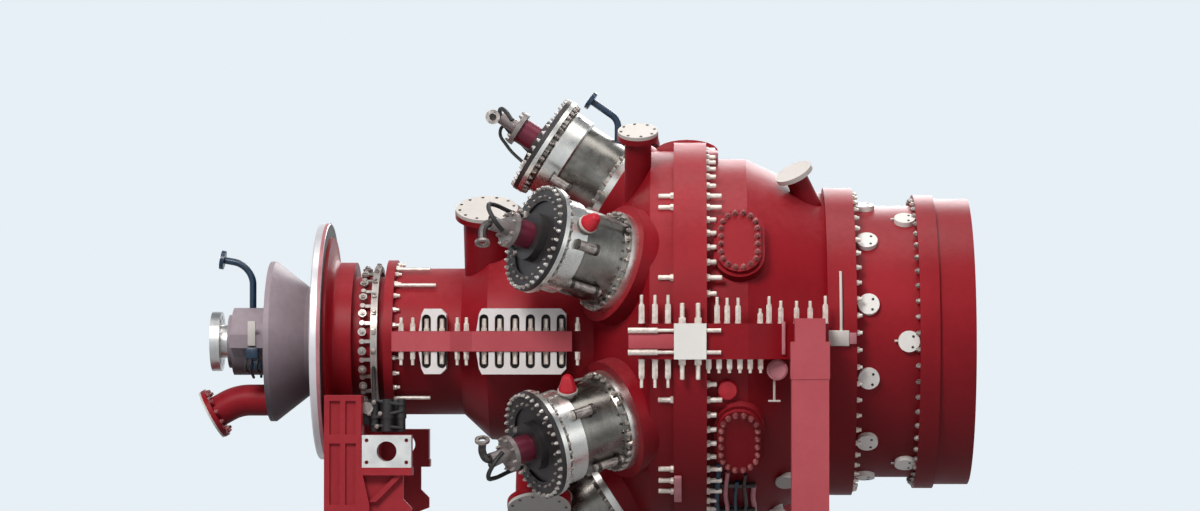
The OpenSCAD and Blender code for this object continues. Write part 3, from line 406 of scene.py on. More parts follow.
class Graph:
    """Builder of a node tree."""

    def __init__(self, owner: bpy.types.Material | bpy.types.World) -> None:
        """Clears the node tree.

        Args:
            owner: Material or world that the tree belongs to.
        """
        owner.use_nodes = True
        self.tree = owner.node_tree
        self.tree.nodes.clear()

    def fill(self, item: bpy.types.Node, inputs: dict[Any, Any]) -> None:
        """Sets or links inputs of a node.

        Args:
            item: The node.
            inputs: Value or output socket for each input, by name or number.
        """
        for key, value in inputs.items():
            if isinstance(value, Socket):
                self.tree.links.new(value, item.inputs[key])
            else:
                item.inputs[key].default_value = value

    def node(self, kind: str, inputs: dict[Any, Any] | None = None, **settings: Any) -> bpy.types.NodeOutputs:
        """Adds a node, sets its values and links its inputs.

        Args:
            kind: Blender's name of the node type, after ShaderNode.
            inputs: Value or output socket for each input, by name or number.
            settings: Properties of the node.

        Returns:
            The new node's outputs.
        """
        item = self.tree.nodes.new("ShaderNode" + kind)
        for key, value in settings.items():
            setattr(item, key, value)
        self.fill(item, inputs or {})
        return item.outputs

    def math(self, operation: str, *values: Any) -> Socket:
        """Result of a sum on numbers or sockets."""
        return self.node("Math", dict(enumerate(values)), operation=operation)[0]

    def parts(self, vector: Socket) -> bpy.types.NodeOutputs:
        """A vector's X, Y and Z."""
        return self.node("SeparateXYZ", {0: vector})

    def noise(self, vector: Socket, scale: float, detail: float = 3.0, roughness: float = 0.5) -> Socket:
        """Noise between 0 and 1."""
        inputs = {"Vector": vector, "Scale": scale, "Detail": detail, "Roughness": roughness}
        return self.node("TexNoise", inputs)[0]

    def spread(
        self, fac: Socket, low: float, high: float, to_low: float = 0.0, to_high: float = 1.0,
    ) -> Socket:
        """A value's range from low to high spread over another range, and held there."""
        return self.node("MapRange", {0: fac, 1: low, 2: high, 3: to_low, 4: to_high}, clamp=True)[0]

    def blend(self, fac: Socket, low: Any, high: Any) -> Socket:
        """Colour between two colours or colour sockets."""
        ends = {key: end if isinstance(end, Socket) else (*end, 1.0) for key, end in ((6, low), (7, high))}
        return self.node("Mix", {0: fac, **ends}, data_type="RGBA")[2]

    def seen(self) -> Socket:
        """Adds nodes that are 1 where the surface is looked at, straight or in a reflection.

        Returns:
            The result's socket.
        """
        path = self.node("LightPath")
        total = path["Is Camera Ray"]
        for name in ("Is Glossy Ray", "Is Transmission Ray"):
            total = self.math("MAXIMUM", total, path[name])
        return total


class Shader(Graph):
    """Builder of one node material around a Principled shader."""

    def __init__(self, name: str, roughness: float, metallic: float) -> None:
        """Starts a material.

        Args:
            name: Name of the material.
            roughness: Roughness set on the shader.
            metallic: Metallic value set on the shader.
        """
        self.material = bpy.data.materials.new(name)
        super().__init__(self.material)
        self.surface = self.tree.nodes.new("ShaderNodeBsdfPrincipled")
        self.output = self.tree.nodes.new("ShaderNodeOutputMaterial")
        self.paint({"Roughness": roughness, "Metallic": metallic})
        self.fill(self.output, {"Surface": self.surface.outputs[0]})
        self.point = self.node("TexCoord")["Object"]

    def paint(self, inputs: dict[str, Any]) -> None:
        """Sets or links inputs of the Principled shader."""
        self.fill(self.surface, inputs)

    def placed(self, vector: Socket, location: Point, tilt: float = 0.0) -> Socket:
        """A vector counted from a place that is tilted about Y, in degrees."""
        inputs = {"Vector": vector, "Location": location, "Rotation": (0, math.radians(tilt), 0)}
        return self.node("Mapping", inputs, vector_type="TEXTURE")[0]

    def grooves(self, along: Socket, across: Sequence[Socket], pitch: float) -> Socket:
        """Noise that changes only along an axis and with the distance from it, as the marks of turning do.

        Args:
            along: Coordinate along the axis.
            across: The two coordinates across the axis.
            pitch: Scale of the noise.

        Returns:
            The noise's socket.
        """
        radius = self.math("SQRT", self.math("ADD", *(self.math("POWER", part, 2.0) for part in across)))
        return self.noise(self.node("CombineXYZ", {0: along, 1: radius})[0], pitch, 2.0)

    def mottle(self, grain: Socket, share: float, stain: Socket, low: float, high: float) -> Socket:
        """Tone between 0 and 1 of a grain laid over a stain."""
        return self.spread(self.math("MULTIPLY_ADD", grain, share, stain), low, high)

    def wear(self, stain: Socket, roughness: float, less: float, more: float) -> None:
        """Varies the roughness with a stain."""
        self.paint({"Roughness": self.spread(stain, 0.3, 0.7, roughness - less, roughness + more)})

    def bump(self, height: Socket, strength: float, distance: float) -> None:
        """Raises the surface by a height pattern, over what bump it has.

        Args:
            height: The pattern.
            strength: Share of the bump's full height.
            distance: Full height in metres.
        """
        inputs: dict[str, Any] = {"Height": height, "Strength": strength, "Distance": distance}
        normal = self.surface.inputs["Normal"]
        if normal.is_linked:
            inputs["Normal"] = normal.links[0].from_socket
        self.paint({"Normal": self.node("Bump", inputs)[0]})


@dataclass(frozen=True)
class Finish:
    """A surface finish, whose material is made once."""

    name: str
    slot: str = field(default="", kw_only=True)
    base: Colour = (0.7, 0.68, 0.66)
    shade: Colour = (0.5, 0.48, 0.46)
    roughness: float = 0.35
    metallic: float = 0.0

    @cached_property
    def material(self) -> bpy.types.Material:
        """The finish's material, made at its first use.

        Returns:
            The material.
        """
        shader = Shader(self.name, self.roughness, self.metallic)
        self.cover(shader)
        return shader.material

    def cover(self, shader: Shader) -> None:
        """Builds the finish's patterns.

        Args:
            shader: The material's shader.
        """
        raise NotImplementedError


@dataclass(frozen=True)
class CastPaint(Finish):
    """Satin paint on steel, a little uneven, dusty where it faces up, and darker where it faces down as
    painted shade.
    """

    dust: Colour = (0.5, 0.2, 0.2)
    dust_cover: float = 0.2
    # Share of the shade colour that the paint darkens to where it faces down: painted shade
    underside_shade_share: float = 0.55
    gloss: float = 0.17
    roughness: float = 0.42
    grain: float = 0.35

    def cover(self, shader: Shader) -> None:
        """Builds the paint, its painted shade underneath, its dust and its orange peel.

        Args:
            shader: The material's shader.
        """
        broad = shader.noise(shader.point, 1.7, 4.0, 0.55)
        fine = shader.noise(shader.point, 23.0, 5.0, 0.6)
        paint = shader.blend(shader.mottle(fine, 0.35, broad, 0.45, 0.95), self.shade, self.base)
        facing = shader.parts(shader.node("NewGeometry")["Normal"])[2]
        # Painted shade: the paint turns darker towards surfaces that face down
        dull = tuple(part * self.underside_shade_share for part in self.shade)
        paint = shader.blend(shader.spread(facing, -0.8, 0.2), dull, paint)
        lying = shader.math("MULTIPLY", shader.mottle(fine, 0.4, facing, 0.75, 1.3), self.dust_cover)
        shader.paint({"Base Color": shader.blend(lying, paint, self.dust), "Specular IOR Level": self.gloss})
        shader.wear(broad, self.roughness, 0.07, 0.09)
        shader.bump(shader.noise(shader.point, 55.0, 4.0, 0.6), self.grain, 0.0012)
        shader.bump(shader.noise(shader.point, 320.0, 2.0), 0.12, 0.0004)


@dataclass(frozen=True)
class TurnedMetal(Finish):
    """Bare metal with the fine rings of turning about the shaft line."""

    centre: Point = (0.0, 0.0, 0.0)
    roughness: float = 0.32
    metallic: float = 1.0
    pitch: float = 240.0

    def cover(self, shader: Shader) -> None:
        """Builds the rings and a stain.

        Args:
            shader: The material's shader.
        """
        x, y, z = shader.parts(shader.placed(shader.point, self.centre))
        groove = shader.grooves(x, (y, z), self.pitch)
        stain = shader.noise(shader.point, 4.0, 5.0, 0.6)
        tone = shader.mottle(groove, 0.5, stain, 0.45, 1.1)
        shader.paint({"Base Color": shader.blend(tone, self.shade, self.base)})
        shader.wear(stain, self.roughness, 0.08, 0.12)
        shader.bump(groove, 0.25, 0.0005)


@dataclass(frozen=True)
class CanMetal(Finish):
    """Heat-stained bare metal of the cans, turned about each can, with bright machined bands."""

    centre: Point = (0.0, 0.0, 0.0)
    bright: Colour = (0.78, 0.75, 0.7)
    polish: float = 0.72
    bands: Pairs = ()
    roughness: float = 0.36
    metallic: float = 0.85
    pitch: float = 210.0

    def cover(self, shader: Shader) -> None:
        """Builds the rings, the stain and the bands, in the nearest can's own coordinates.

        Args:
            shader: The material's shader.
        """
        point = shader.placed(shader.point, self.centre)
        _, y, z = shader.parts(point)
        step = math.radians(CAN_STEP)
        number = shader.math("ROUND", shader.math("DIVIDE", shader.math("ARCTAN2", y, z), step))
        angle = shader.math("MULTIPLY", number, step)
        top = shader.node("VectorRotate", {"Vector": point, "Angle": angle}, rotation_type="X_AXIS")[0]
        x, y, z = shader.parts(shader.placed(top, CAN_FACE, CAN_LEAN - 90))
        groove = shader.grooves(z, (x, y), self.pitch)
        stain = shader.noise(shader.point, 5.5, 6.0, 0.62)
        tone = shader.mottle(groove, 0.35, stain, 0.4, 0.95)
        colour = shader.blend(tone, self.shade, self.base)
        polished = shader.blend(tone, tuple(c * self.polish for c in self.bright), self.bright)
        for low, high in self.bands:
            over, under = shader.math("GREATER_THAN", z, low), shader.math("LESS_THAN", z, high)
            inside = shader.math("MULTIPLY", over, under)
            colour = shader.blend(inside, colour, polished)
        shader.paint({"Base Color": colour})
        shader.wear(stain, self.roughness, 0.08, 0.14)
        shader.bump(groove, 0.12, 0.0005)


@dataclass(frozen=True)
class PlainMetal(Finish):
    """Bare or plated metal of fasteners and blades, slightly stained."""

    roughness: float = 0.34
    metallic: float = 0.9
    scale: float = 30.0

    def cover(self, shader: Shader) -> None:
        """Builds the stain.

        Args:
            shader: The material's shader.
        """
        stain = shader.noise(shader.point, self.scale, 5.0, 0.6)
        shader.paint({"Base Color": shader.blend(shader.spread(stain, 0.35, 0.65), self.shade, self.base)})
        shader.wear(stain, self.roughness, 0.06, 0.12)
        shader.bump(shader.noise(shader.point, 420.0, 2.0), 0.1, 0.0003)


@dataclass(frozen=True)
class MilledMetal(Finish):
    """Flat metal with the fine lines of milling along the machine."""

    base: Colour = (0.8, 0.78, 0.75)
    shade: Colour = (0.6, 0.58, 0.55)
    metallic: float = 0.7
    stretch: Point = (3.0, 60.0, 160.0)

    def cover(self, shader: Shader) -> None:
        """Builds the lines and a stain.

        Args:
            shader: The material's shader.
        """
        lines = shader.noise(shader.node("Mapping", {"Vector": shader.point, "Scale": self.stretch})[0], 3.0)
        stain = shader.noise(shader.point, 9.0, 6.0, 0.65)
        tone = shader.mottle(lines, 0.4, stain, 0.45, 1.0)
        shader.paint({"Base Color": shader.blend(tone, self.shade, self.base)})
        shader.wear(stain, self.roughness, 0.08, 0.12)
        shader.bump(lines, 0.2, 0.0004)


@dataclass(frozen=True)
class GlossPaint(Finish):
    """Smooth paint or moulded plastic with a little wear in its gloss."""

    roughness: float = 0.3

    def cover(self, shader: Shader) -> None:
        """Builds the wear.

        Args:
            shader: The material's shader.
        """
        patch = shader.noise(shader.point, 12.0, 4.0, 0.6)
        shader.paint({"Base Color": shader.blend(shader.spread(patch, 0.35, 0.65), self.shade, self.base)})
        shader.wear(patch, self.roughness, 0.06, 0.1)
        shader.bump(shader.noise(shader.point, 260.0, 2.0), 0.08, 0.0003)


class Palette:
    """All finishes of the machine, some with the name of a material slot of the record."""

    def __init__(self, shaft: Shaft) -> None:
        """Makes the finishes.

        Args:
            shaft: Shaft line, which turned metal is centred on.
        """
        centre = (shaft.joint_x, 0.0, shaft.axis_z)
        red, steel, dark, white = "casing_red", "machined_steel", "dark_cover", "white_cover"
        # Every cast paint darkens where it faces down as painted shade, the cone's most of all
        self.casing = CastPaint(
            "casing_paint", (0.35, 0.01, 0.019), (0.235, 0.0055, 0.011), dust=(0.46, 0.16, 0.17), slot=red,
        )
        self.legs = CastPaint(
            "leg_paint", (0.6, 0.115, 0.135), (0.49, 0.08, 0.096), dust=(0.55, 0.28, 0.28), roughness=0.5,
            slot=red,
        )
        self.cradle = CastPaint("cradle_paint", (0.45, 0.036, 0.048), (0.33, 0.02, 0.028), roughness=0.48)
        self.cone = CastPaint(
            "cone_paint", (0.43, 0.35, 0.38), (0.29, 0.23, 0.255), dust=(0.5, 0.44, 0.45), dust_cover=0.15,
            underside_shade_share=0.25, roughness=0.46, grain=0.2,
        )
        self.cover = CastPaint(
            "cover_paint", (0.74, 0.69, 0.64), (0.62, 0.57, 0.53), dust=(0.68, 0.64, 0.59), dust_cover=0.3,
            roughness=0.44, grain=0.15, slot=white,
        )
        # Lighter copy of the cover paint for the key blocks and port covers, which face the front: painted
        # light for the frontal light they lack
        self.key = CastPaint(
            "key_paint", (0.93, 0.9, 0.85), (0.84, 0.8, 0.75), dust=(0.7, 0.66, 0.6), dust_cover=0.3,
            underside_shade_share=0.8, roughness=0.44, grain=0.15,
        )
        self.ribs = CastPaint(
            "rib_paint", (0.93, 0.87, 0.85), (0.82, 0.75, 0.73), dust=(0.75, 0.7, 0.66), roughness=0.4,
            grain=0.2,
        )
        self.rim = TurnedMetal(
            "rim_metal", (0.86, 0.83, 0.84), (0.7, 0.67, 0.69), 0.36, 0.45, centre, slot="bright_flange",
        )
        self.steel = TurnedMetal("turned_steel", centre=centre)
        self.linkage = TurnedMetal(
            "linkage_steel", (0.56, 0.51, 0.47), (0.26, 0.23, 0.21), 0.4, 0.75, centre, slot=steel,
        )
        self.can = CanMetal(
            "can_metal", (0.36, 0.335, 0.3), (0.075, 0.068, 0.058), 0.25, 0.95, centre,
            bands=((0.332, 0.456), (0.495, 0.53), (-0.01, 0.047)),
        )
        self.can_end = CanMetal("can_end_metal", (0.07, 0.06, 0.06), (0.022, 0.019, 0.02), 0.42, 0.6, centre)
        self.fuel = CanMetal(
            "fuel_fitting_metal", (0.17, 0.012, 0.035), (0.1, 0.007, 0.02), 0.36, 0.35, centre,
            (0.26, 0.22, 0.21), bands=((0.712, 0.9),),
        )
        self.stud = PlainMetal("stud_metal", (0.88, 0.79, 0.71), (0.62, 0.52, 0.45), metallic=0.3, slot=steel)
        self.bolt = PlainMetal("bolt_metal", (0.5, 0.44, 0.4), (0.2, 0.165, 0.15), metallic=0.75, slot=steel)
        self.plated = PlainMetal(
            "plated_metal", (0.78, 0.74, 0.69), (0.42, 0.37, 0.33), metallic=0.7, slot=steel,
        )
        self.dark = PlainMetal(
            "dark_steel", (0.1, 0.085, 0.08), (0.04, 0.034, 0.032), metallic=0.7, slot=dark,
        )
        self.blade = PlainMetal("blade_metal", (0.6, 0.58, 0.56), (0.42, 0.4, 0.38), roughness=0.3)
        self.hatch_bolt = PlainMetal(
            "painted_bolts", (0.42, 0.13, 0.12), (0.17, 0.025, 0.03), metallic=0.1, slot=red,
        )
        self.plate = MilledMetal("plate_metal")
        self.navy = GlossPaint("navy_paint", (0.008, 0.032, 0.07), (0.005, 0.02, 0.045), slot="navy_paint")
        self.signal = GlossPaint("cap_plastic", (0.58, 0.012, 0.026), (0.46, 0.008, 0.02), 0.35, slot=red)
        self.black = GlossPaint("black_rubber", (0.022, 0.02, 0.02), (0.012, 0.011, 0.011), 0.55, slot=dark)
        self.rose = GlossPaint("primer_paint", (0.5, 0.2, 0.22), (0.4, 0.14, 0.16), 0.45, slot=red)


@dataclass(frozen=True)
class Dressing:
    """Finish of each CAD node."""

    palette: Palette

    def dress(self, nodes: dict[str, bpy.types.Object]) -> None:
        """Gives every node its finish, the casing's where none is named.

        Args:
            nodes: The frame's CAD nodes by name.
        """
        look = self.palette
        groups = (
            (look.cone, ("cone_cover", "intake_cone", "intake_struts", "bearing_housing", "exhaust_hub")),
            (look.rim, ("bellmouth_ring",)),
            (look.steel, ("shaft_coupling",)),
            (look.linkage, ("unison_ring", "vane_levers")),
            (look.blade, ("guide_vanes", "compressor_blades", "turbine_blades")),
            (look.ribs, ("stud_pockets_upper", "stud_pockets_lower")),
            (look.cover, ("blanking_covers",)),
            (look.key, ("key_blocks", "port_covers")),
            (look.can, tuple(f"combustor_can_{number}" for number in range(1, 7))),
            (look.can_end, ("can_end_covers",)),
            (look.fuel, ("fuel_nozzles",)),
            (look.legs, ("rear_leg_left", "rear_leg_right", "casing_lugs")),
            (look.cradle, ("front_leg_left", "front_leg_right", "front_cradle")),
            (look.plate, ("support_plate_left", "support_plate_right")),
            (look.navy, ("vent_pipe", "top_pipe")),
        )
        finish_of = {node: finish for finish, group in groups for node in group}
        for node, item in nodes.items():
            finish = finish_of.get(node, look.casing)
            for slot in item.material_slots:
                slot.material = finish.material
            LOG.info("%s: %s", node, finish.name)


# Sub-assemblies


@dataclass(frozen=True)
class Assembly:
    """Small pieces of one part of the machine."""

    shaft: Shaft
    palette: Palette


@dataclass(frozen=True)
class MainJoint(Assembly):
    """Studs of the main vertical flange and of the main split flange, and the rods at the key blocks."""

    rows: tuple[tuple[int, float, int, tuple[int, ...]], ...] = (
        (1, 13.7, 16, (1, 6, 7)), (-1, 12.3, 17, (1, 6, 7, 8)),
    )
    edge: float = 0.046
    short: Nut = Nut(0.04, 0.02, 0.0155, 0.04)
    long: Nut = Nut(0.04, 0.02, 0.016, 0.074)
    split_z: float = 0.1085
    split_out: float = 1.286
    taper: float = 0.4665
    sleeve: Nut = Nut(0.034, 0.118, 0.0105, 0.055)
    low: Nut = Nut(0.032, 0.062, 0.0105, 0.022)
    front_row: tuple[float, ...] = (-0.294, -0.213, -0.134)
    low_row: tuple[float, ...] = (0.112, 0.175, 0.238, 0.301, 0.363, 0.426)
    high_row: Pairs = (
        (0.163, 0.16), (0.224, 0.155), (0.290, 0.155), (0.424, 0.09), (0.478, 0.165), (0.550, 0.138),
        (0.647, 0.138), (0.731, 0.138), (0.825, 0.17),
    )
    high_share: float = 0.7
    key_row: tuple[float, ...] = (-0.048, 0.048)
    key_out: float = 1.308
    key_nut: Nut = Nut(0.042, 0.036, 0.0145, 0.088)
    rod_z: float = 0.066
    rod_ends: tuple[float, float, float] = (-0.375, -0.196, 0.186)
    rod_radii: tuple[float, float, float] = (0.017, 0.0105, 0.0125)
    rod_in: float = 0.02
    bar_x: float = -0.236
    bar_in: float = 0.034
    bar: Point = (0.272, 0.09, 0.01)
    key_gap: float = 0.001
    lug_w: float = 0.2
    lug_foot: float = -0.05
    lug_h: float = 0.075
    lug_at: Point = (-0.02, 0.03, 1.215)
    lug_t: float = 0.06
    boxes: tuple[tuple[Point, Point, float], ...] = (
        ((0.142, 16, 1.205), (0.07, 0.085, 0.08), 0.006), ((-0.076, 135, 1.281), (0.046, 0.22, 0.024), 0.005),
    )

    def build(self) -> None:
        """Builds the studs, the rods and the pieces beside them."""
        self.vertical()
        self.split()
        self.rods()
        self.lugs()

    def vertical(self) -> None:
        """Nuts on the vertical flange, with long studs at some of them on both faces."""
        front, rear = self.shaft.span("main_flange_front"), self.shaft.span("main_flange_rear")
        forge = Forge()
        out = front.radius - self.edge
        for up, first, count, long_ones in self.rows:
            for step in range(count + 1):
                over = first + (90 - first) * step / count
                is_long = step in long_ones
                nut = (self.long if is_long else self.short).forge()
                for side in Side if step < count else (Side.RIGHT,):
                    az = -side * (90 - up * over)
                    forge.absorb(nut, self.shaft.along(rear.rear, az, out, Heading.REARWARD))
                    if is_long:
                        forge.absorb(nut, self.shaft.along(front.front, az, out, Heading.FORWARD))
        forge.piece("main_flange_studs", self.palette.stud)

    def split(self) -> None:
        """Tall nuts that stand on the split flange, over and under it, and by the key blocks."""
        rows = [(x, up, self.sleeve) for x in self.front_row for up in (1, -1)]
        rows += [(x, -1, self.low) for x in self.low_row]
        share, low = self.high_share, self.low
        rows += [(x, 1, Nut(low.across, h * share, low.stud_r, h * (1 - share))) for x, h in self.high_row]
        spots = [(x, up, nut, self.split_out - max(0.0, x - TAPER_X) * self.taper) for x, up, nut in rows]
        spots += [(x, up, self.key_nut, self.key_out) for x in self.key_row for up in (1, -1)]
        forge = Forge()
        for side in Side:
            for x, up, nut, out in spots:
                forge.absorb(nut.forge(), self.shaft.upright(x, side * out, up * self.split_z, up < 0))
        forge.piece("split_flange_studs", self.palette.stud)

    def rods(self) -> None:
        """Rods and bars that lie against the split flange's edge at the key blocks."""
        low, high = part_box("key_blocks")
        half = (high.x - low.x) / 2 + self.key_gap
        start, neck, end = self.rod_ends
        lengths = ((start, neck), (neck, -half), (half, end))
        rods, bars = Forge(), Forge()
        for side in Side:
            for z in (-self.rod_z, self.rod_z):
                for (x0, x1), r in zip(lengths, self.rod_radii):
                    foot = self.shaft.outwards(x0, z, high.y - self.rod_in, side)
                    rods.cylinder(foot @ turn(90, "Y"), r, x1 - x0, 18)
            bars.block(self.shaft.outwards(self.bar_x, 0.0, high.y - self.bar_in, side), self.bar, 0.003)
        rods.piece("key_rods", self.palette.stud)
        bars.piece("key_bars", self.palette.legs)

    def lugs(self) -> None:
        """Lifting lug over the top of the vertical flange, and boxes on the flange."""
        lug, box = Forge(), Forge()
        outline = [(-self.lug_w, self.lug_foot), (self.lug_w, self.lug_foot), *arch(self.lug_w, self.lug_h)]
        lug.slab(self.shaft.upright(*self.lug_at) @ turn(90, "X"), outline, self.lug_t, 0.004)
        for side in Side:
            for (x, az, out), size, bevel in self.boxes:
                box.block(self.shaft.at(x, -side * az, out), size, bevel)
        lug.piece("lifting_lug", self.palette.casing)
        box.piece("flange_boxes", self.palette.rose)


@dataclass(frozen=True)
class CompressorJoint(Assembly):
    """Fasteners of the compressor: front flange, split flange and stud pockets."""

    flange_count: int = 30
    flange_edge: float = 0.03
    flange_start: float = 6.0
    flange_nut: Nut = Nut(0.028, 0.022, 0.0105, 0.02)
    long_rods: Pairs = ((44.0, -1.605), (22.0, -1.652), (136.0, -1.64))
    long_rod_r: float = 0.0115
    long_rod_out: float = 0.004
    pocket_nut: Nut = Nut(0.034, 0.02, 0.0145, 0.058)
    plain_nut: Nut = Nut(0.03, 0.05, 0.011, 0.035)
    split_z: float = 0.0645
    pitch: float = 0.096
    first: float = 0.047
    rear_band_l: float = 0.557
    rear_count: int = 6
    front_count: int = 2
    depth: float = 0.074
    half_w: float = 0.0285
    arch_z: float = 0.075
    front_inset: float = 0.19
    back_t: float = 0.004
    back_gap: float = 0.0025
    edge_run: Pairs = ((-1.5, 0.59), (-1.35, 0.78), (-0.732, 0.78))
    edge_t: float = 0.0012
    edge_gap: float = 0.003
    edge_in: float = 0.0025
    plain_studs: Pairs = ((-1.808, 0.562), (-1.735, 0.562), (-1.452, 0.62), (-1.391, 0.695), (-0.694, 0.85))

    def build(self) -> None:
        """Builds the flange's nuts and rods, the studs, the painted shade in the pockets, and the painted
        highlight on the split flange's edge.
        """
        flange = self.shaft.span("compressor_flange")
        self.flange(flange)
        self.edges(flange.rear + self.edge_gap)
        self.pockets()

    def stations(self) -> list[tuple[float, float]]:
        """Finds the studs of one side's pockets.

        Returns:
            Station and distance from the middle plane of each stud.
        """
        low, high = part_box("stud_pockets_upper")
        bands = (
            (high.x - self.rear_band_l, high.y, self.rear_count),
            (low.x, high.y - self.front_inset, self.front_count),
        )
        return [
            (start - self.shaft.joint_x + self.first + number * self.pitch, face - self.depth / 2)
            for start, face, count in bands for number in range(count)
        ]

    def flange(self, flange: Span) -> None:
        """Nuts and long rods on the rear of the front flange.

        Args:
            flange: The flange's span.
        """
        out = flange.radius - self.flange_edge
        forge = Forge()
        circle = BoltCircle(self.flange_nut, self.flange_count, out, self.flange_start)
        forge.absorb(circle.forge(), self.shaft.along(flange.rear, 0, 0, Heading.REARWARD))
        for side in Side:
            for az, end in self.long_rods:
                place = self.shaft.along(flange.rear, side * az, out + self.long_rod_out, Heading.REARWARD)
                forge.cylinder(place, self.long_rod_r, end - flange.rear, 14)
        forge.piece("compressor_flange_nuts", self.palette.stud)

    def pockets(self) -> None:
        """Studs in the pockets and beside them, and black sheets near the pockets' back walls as painted
        shade.
        """
        studs, shade_sheets = Forge(), Forge()
        outline = [(-self.half_w, 0.001), (self.half_w, 0.001), *arch(self.half_w, self.half_w, self.arch_z)]
        for side in Side:
            for x, y in self.stations():
                back = side * (y - self.depth / 2 + self.back_gap) + self.back_t / 2
                for z in (self.split_z, -self.split_z):
                    studs.absorb(self.pocket_nut.forge(), self.shaft.upright(x, side * y, z, z < 0))
                    # Black arch sheet against the pocket's back wall: painted shade
                    shade_sheets.slab(self.shaft.upright(x, back, z, z < 0) @ turn(90, "X"), outline, self.back_t)
            for x, y in self.plain_studs:
                for z in (-self.split_z, self.split_z):
                    studs.absorb(self.plain_nut.forge(), self.shaft.upright(x, side * y, z, z < 0))
        studs.piece("pocket_studs", self.palette.stud)
        shade_sheets.piece("pocket_shade_sheets", self.palette.black)

    def edges(self, start: float) -> None:
        """Thin sheet of lighter red on the split flange's edge face, a painted highlight where that face is
        lit.

        Args:
            start: Station where the strip starts, behind the front flange.
        """
        low = self.edge_in - self.split_z
        forge = Forge()
        for side in Side:
            run = [(x, side * y) for x, y in ((start, self.edge_run[0][1]), *self.edge_run)]
            back = [(x, y + side * self.edge_t) for x, y in reversed(run)]
            forge.slab(self.shaft.upright(0, 0, low), [*run, *back], -2 * low)
        # The lighter sheet is a painted highlight on the flange's lit edge face
        forge.piece("split_flange_edge_highlights", self.palette.legs)


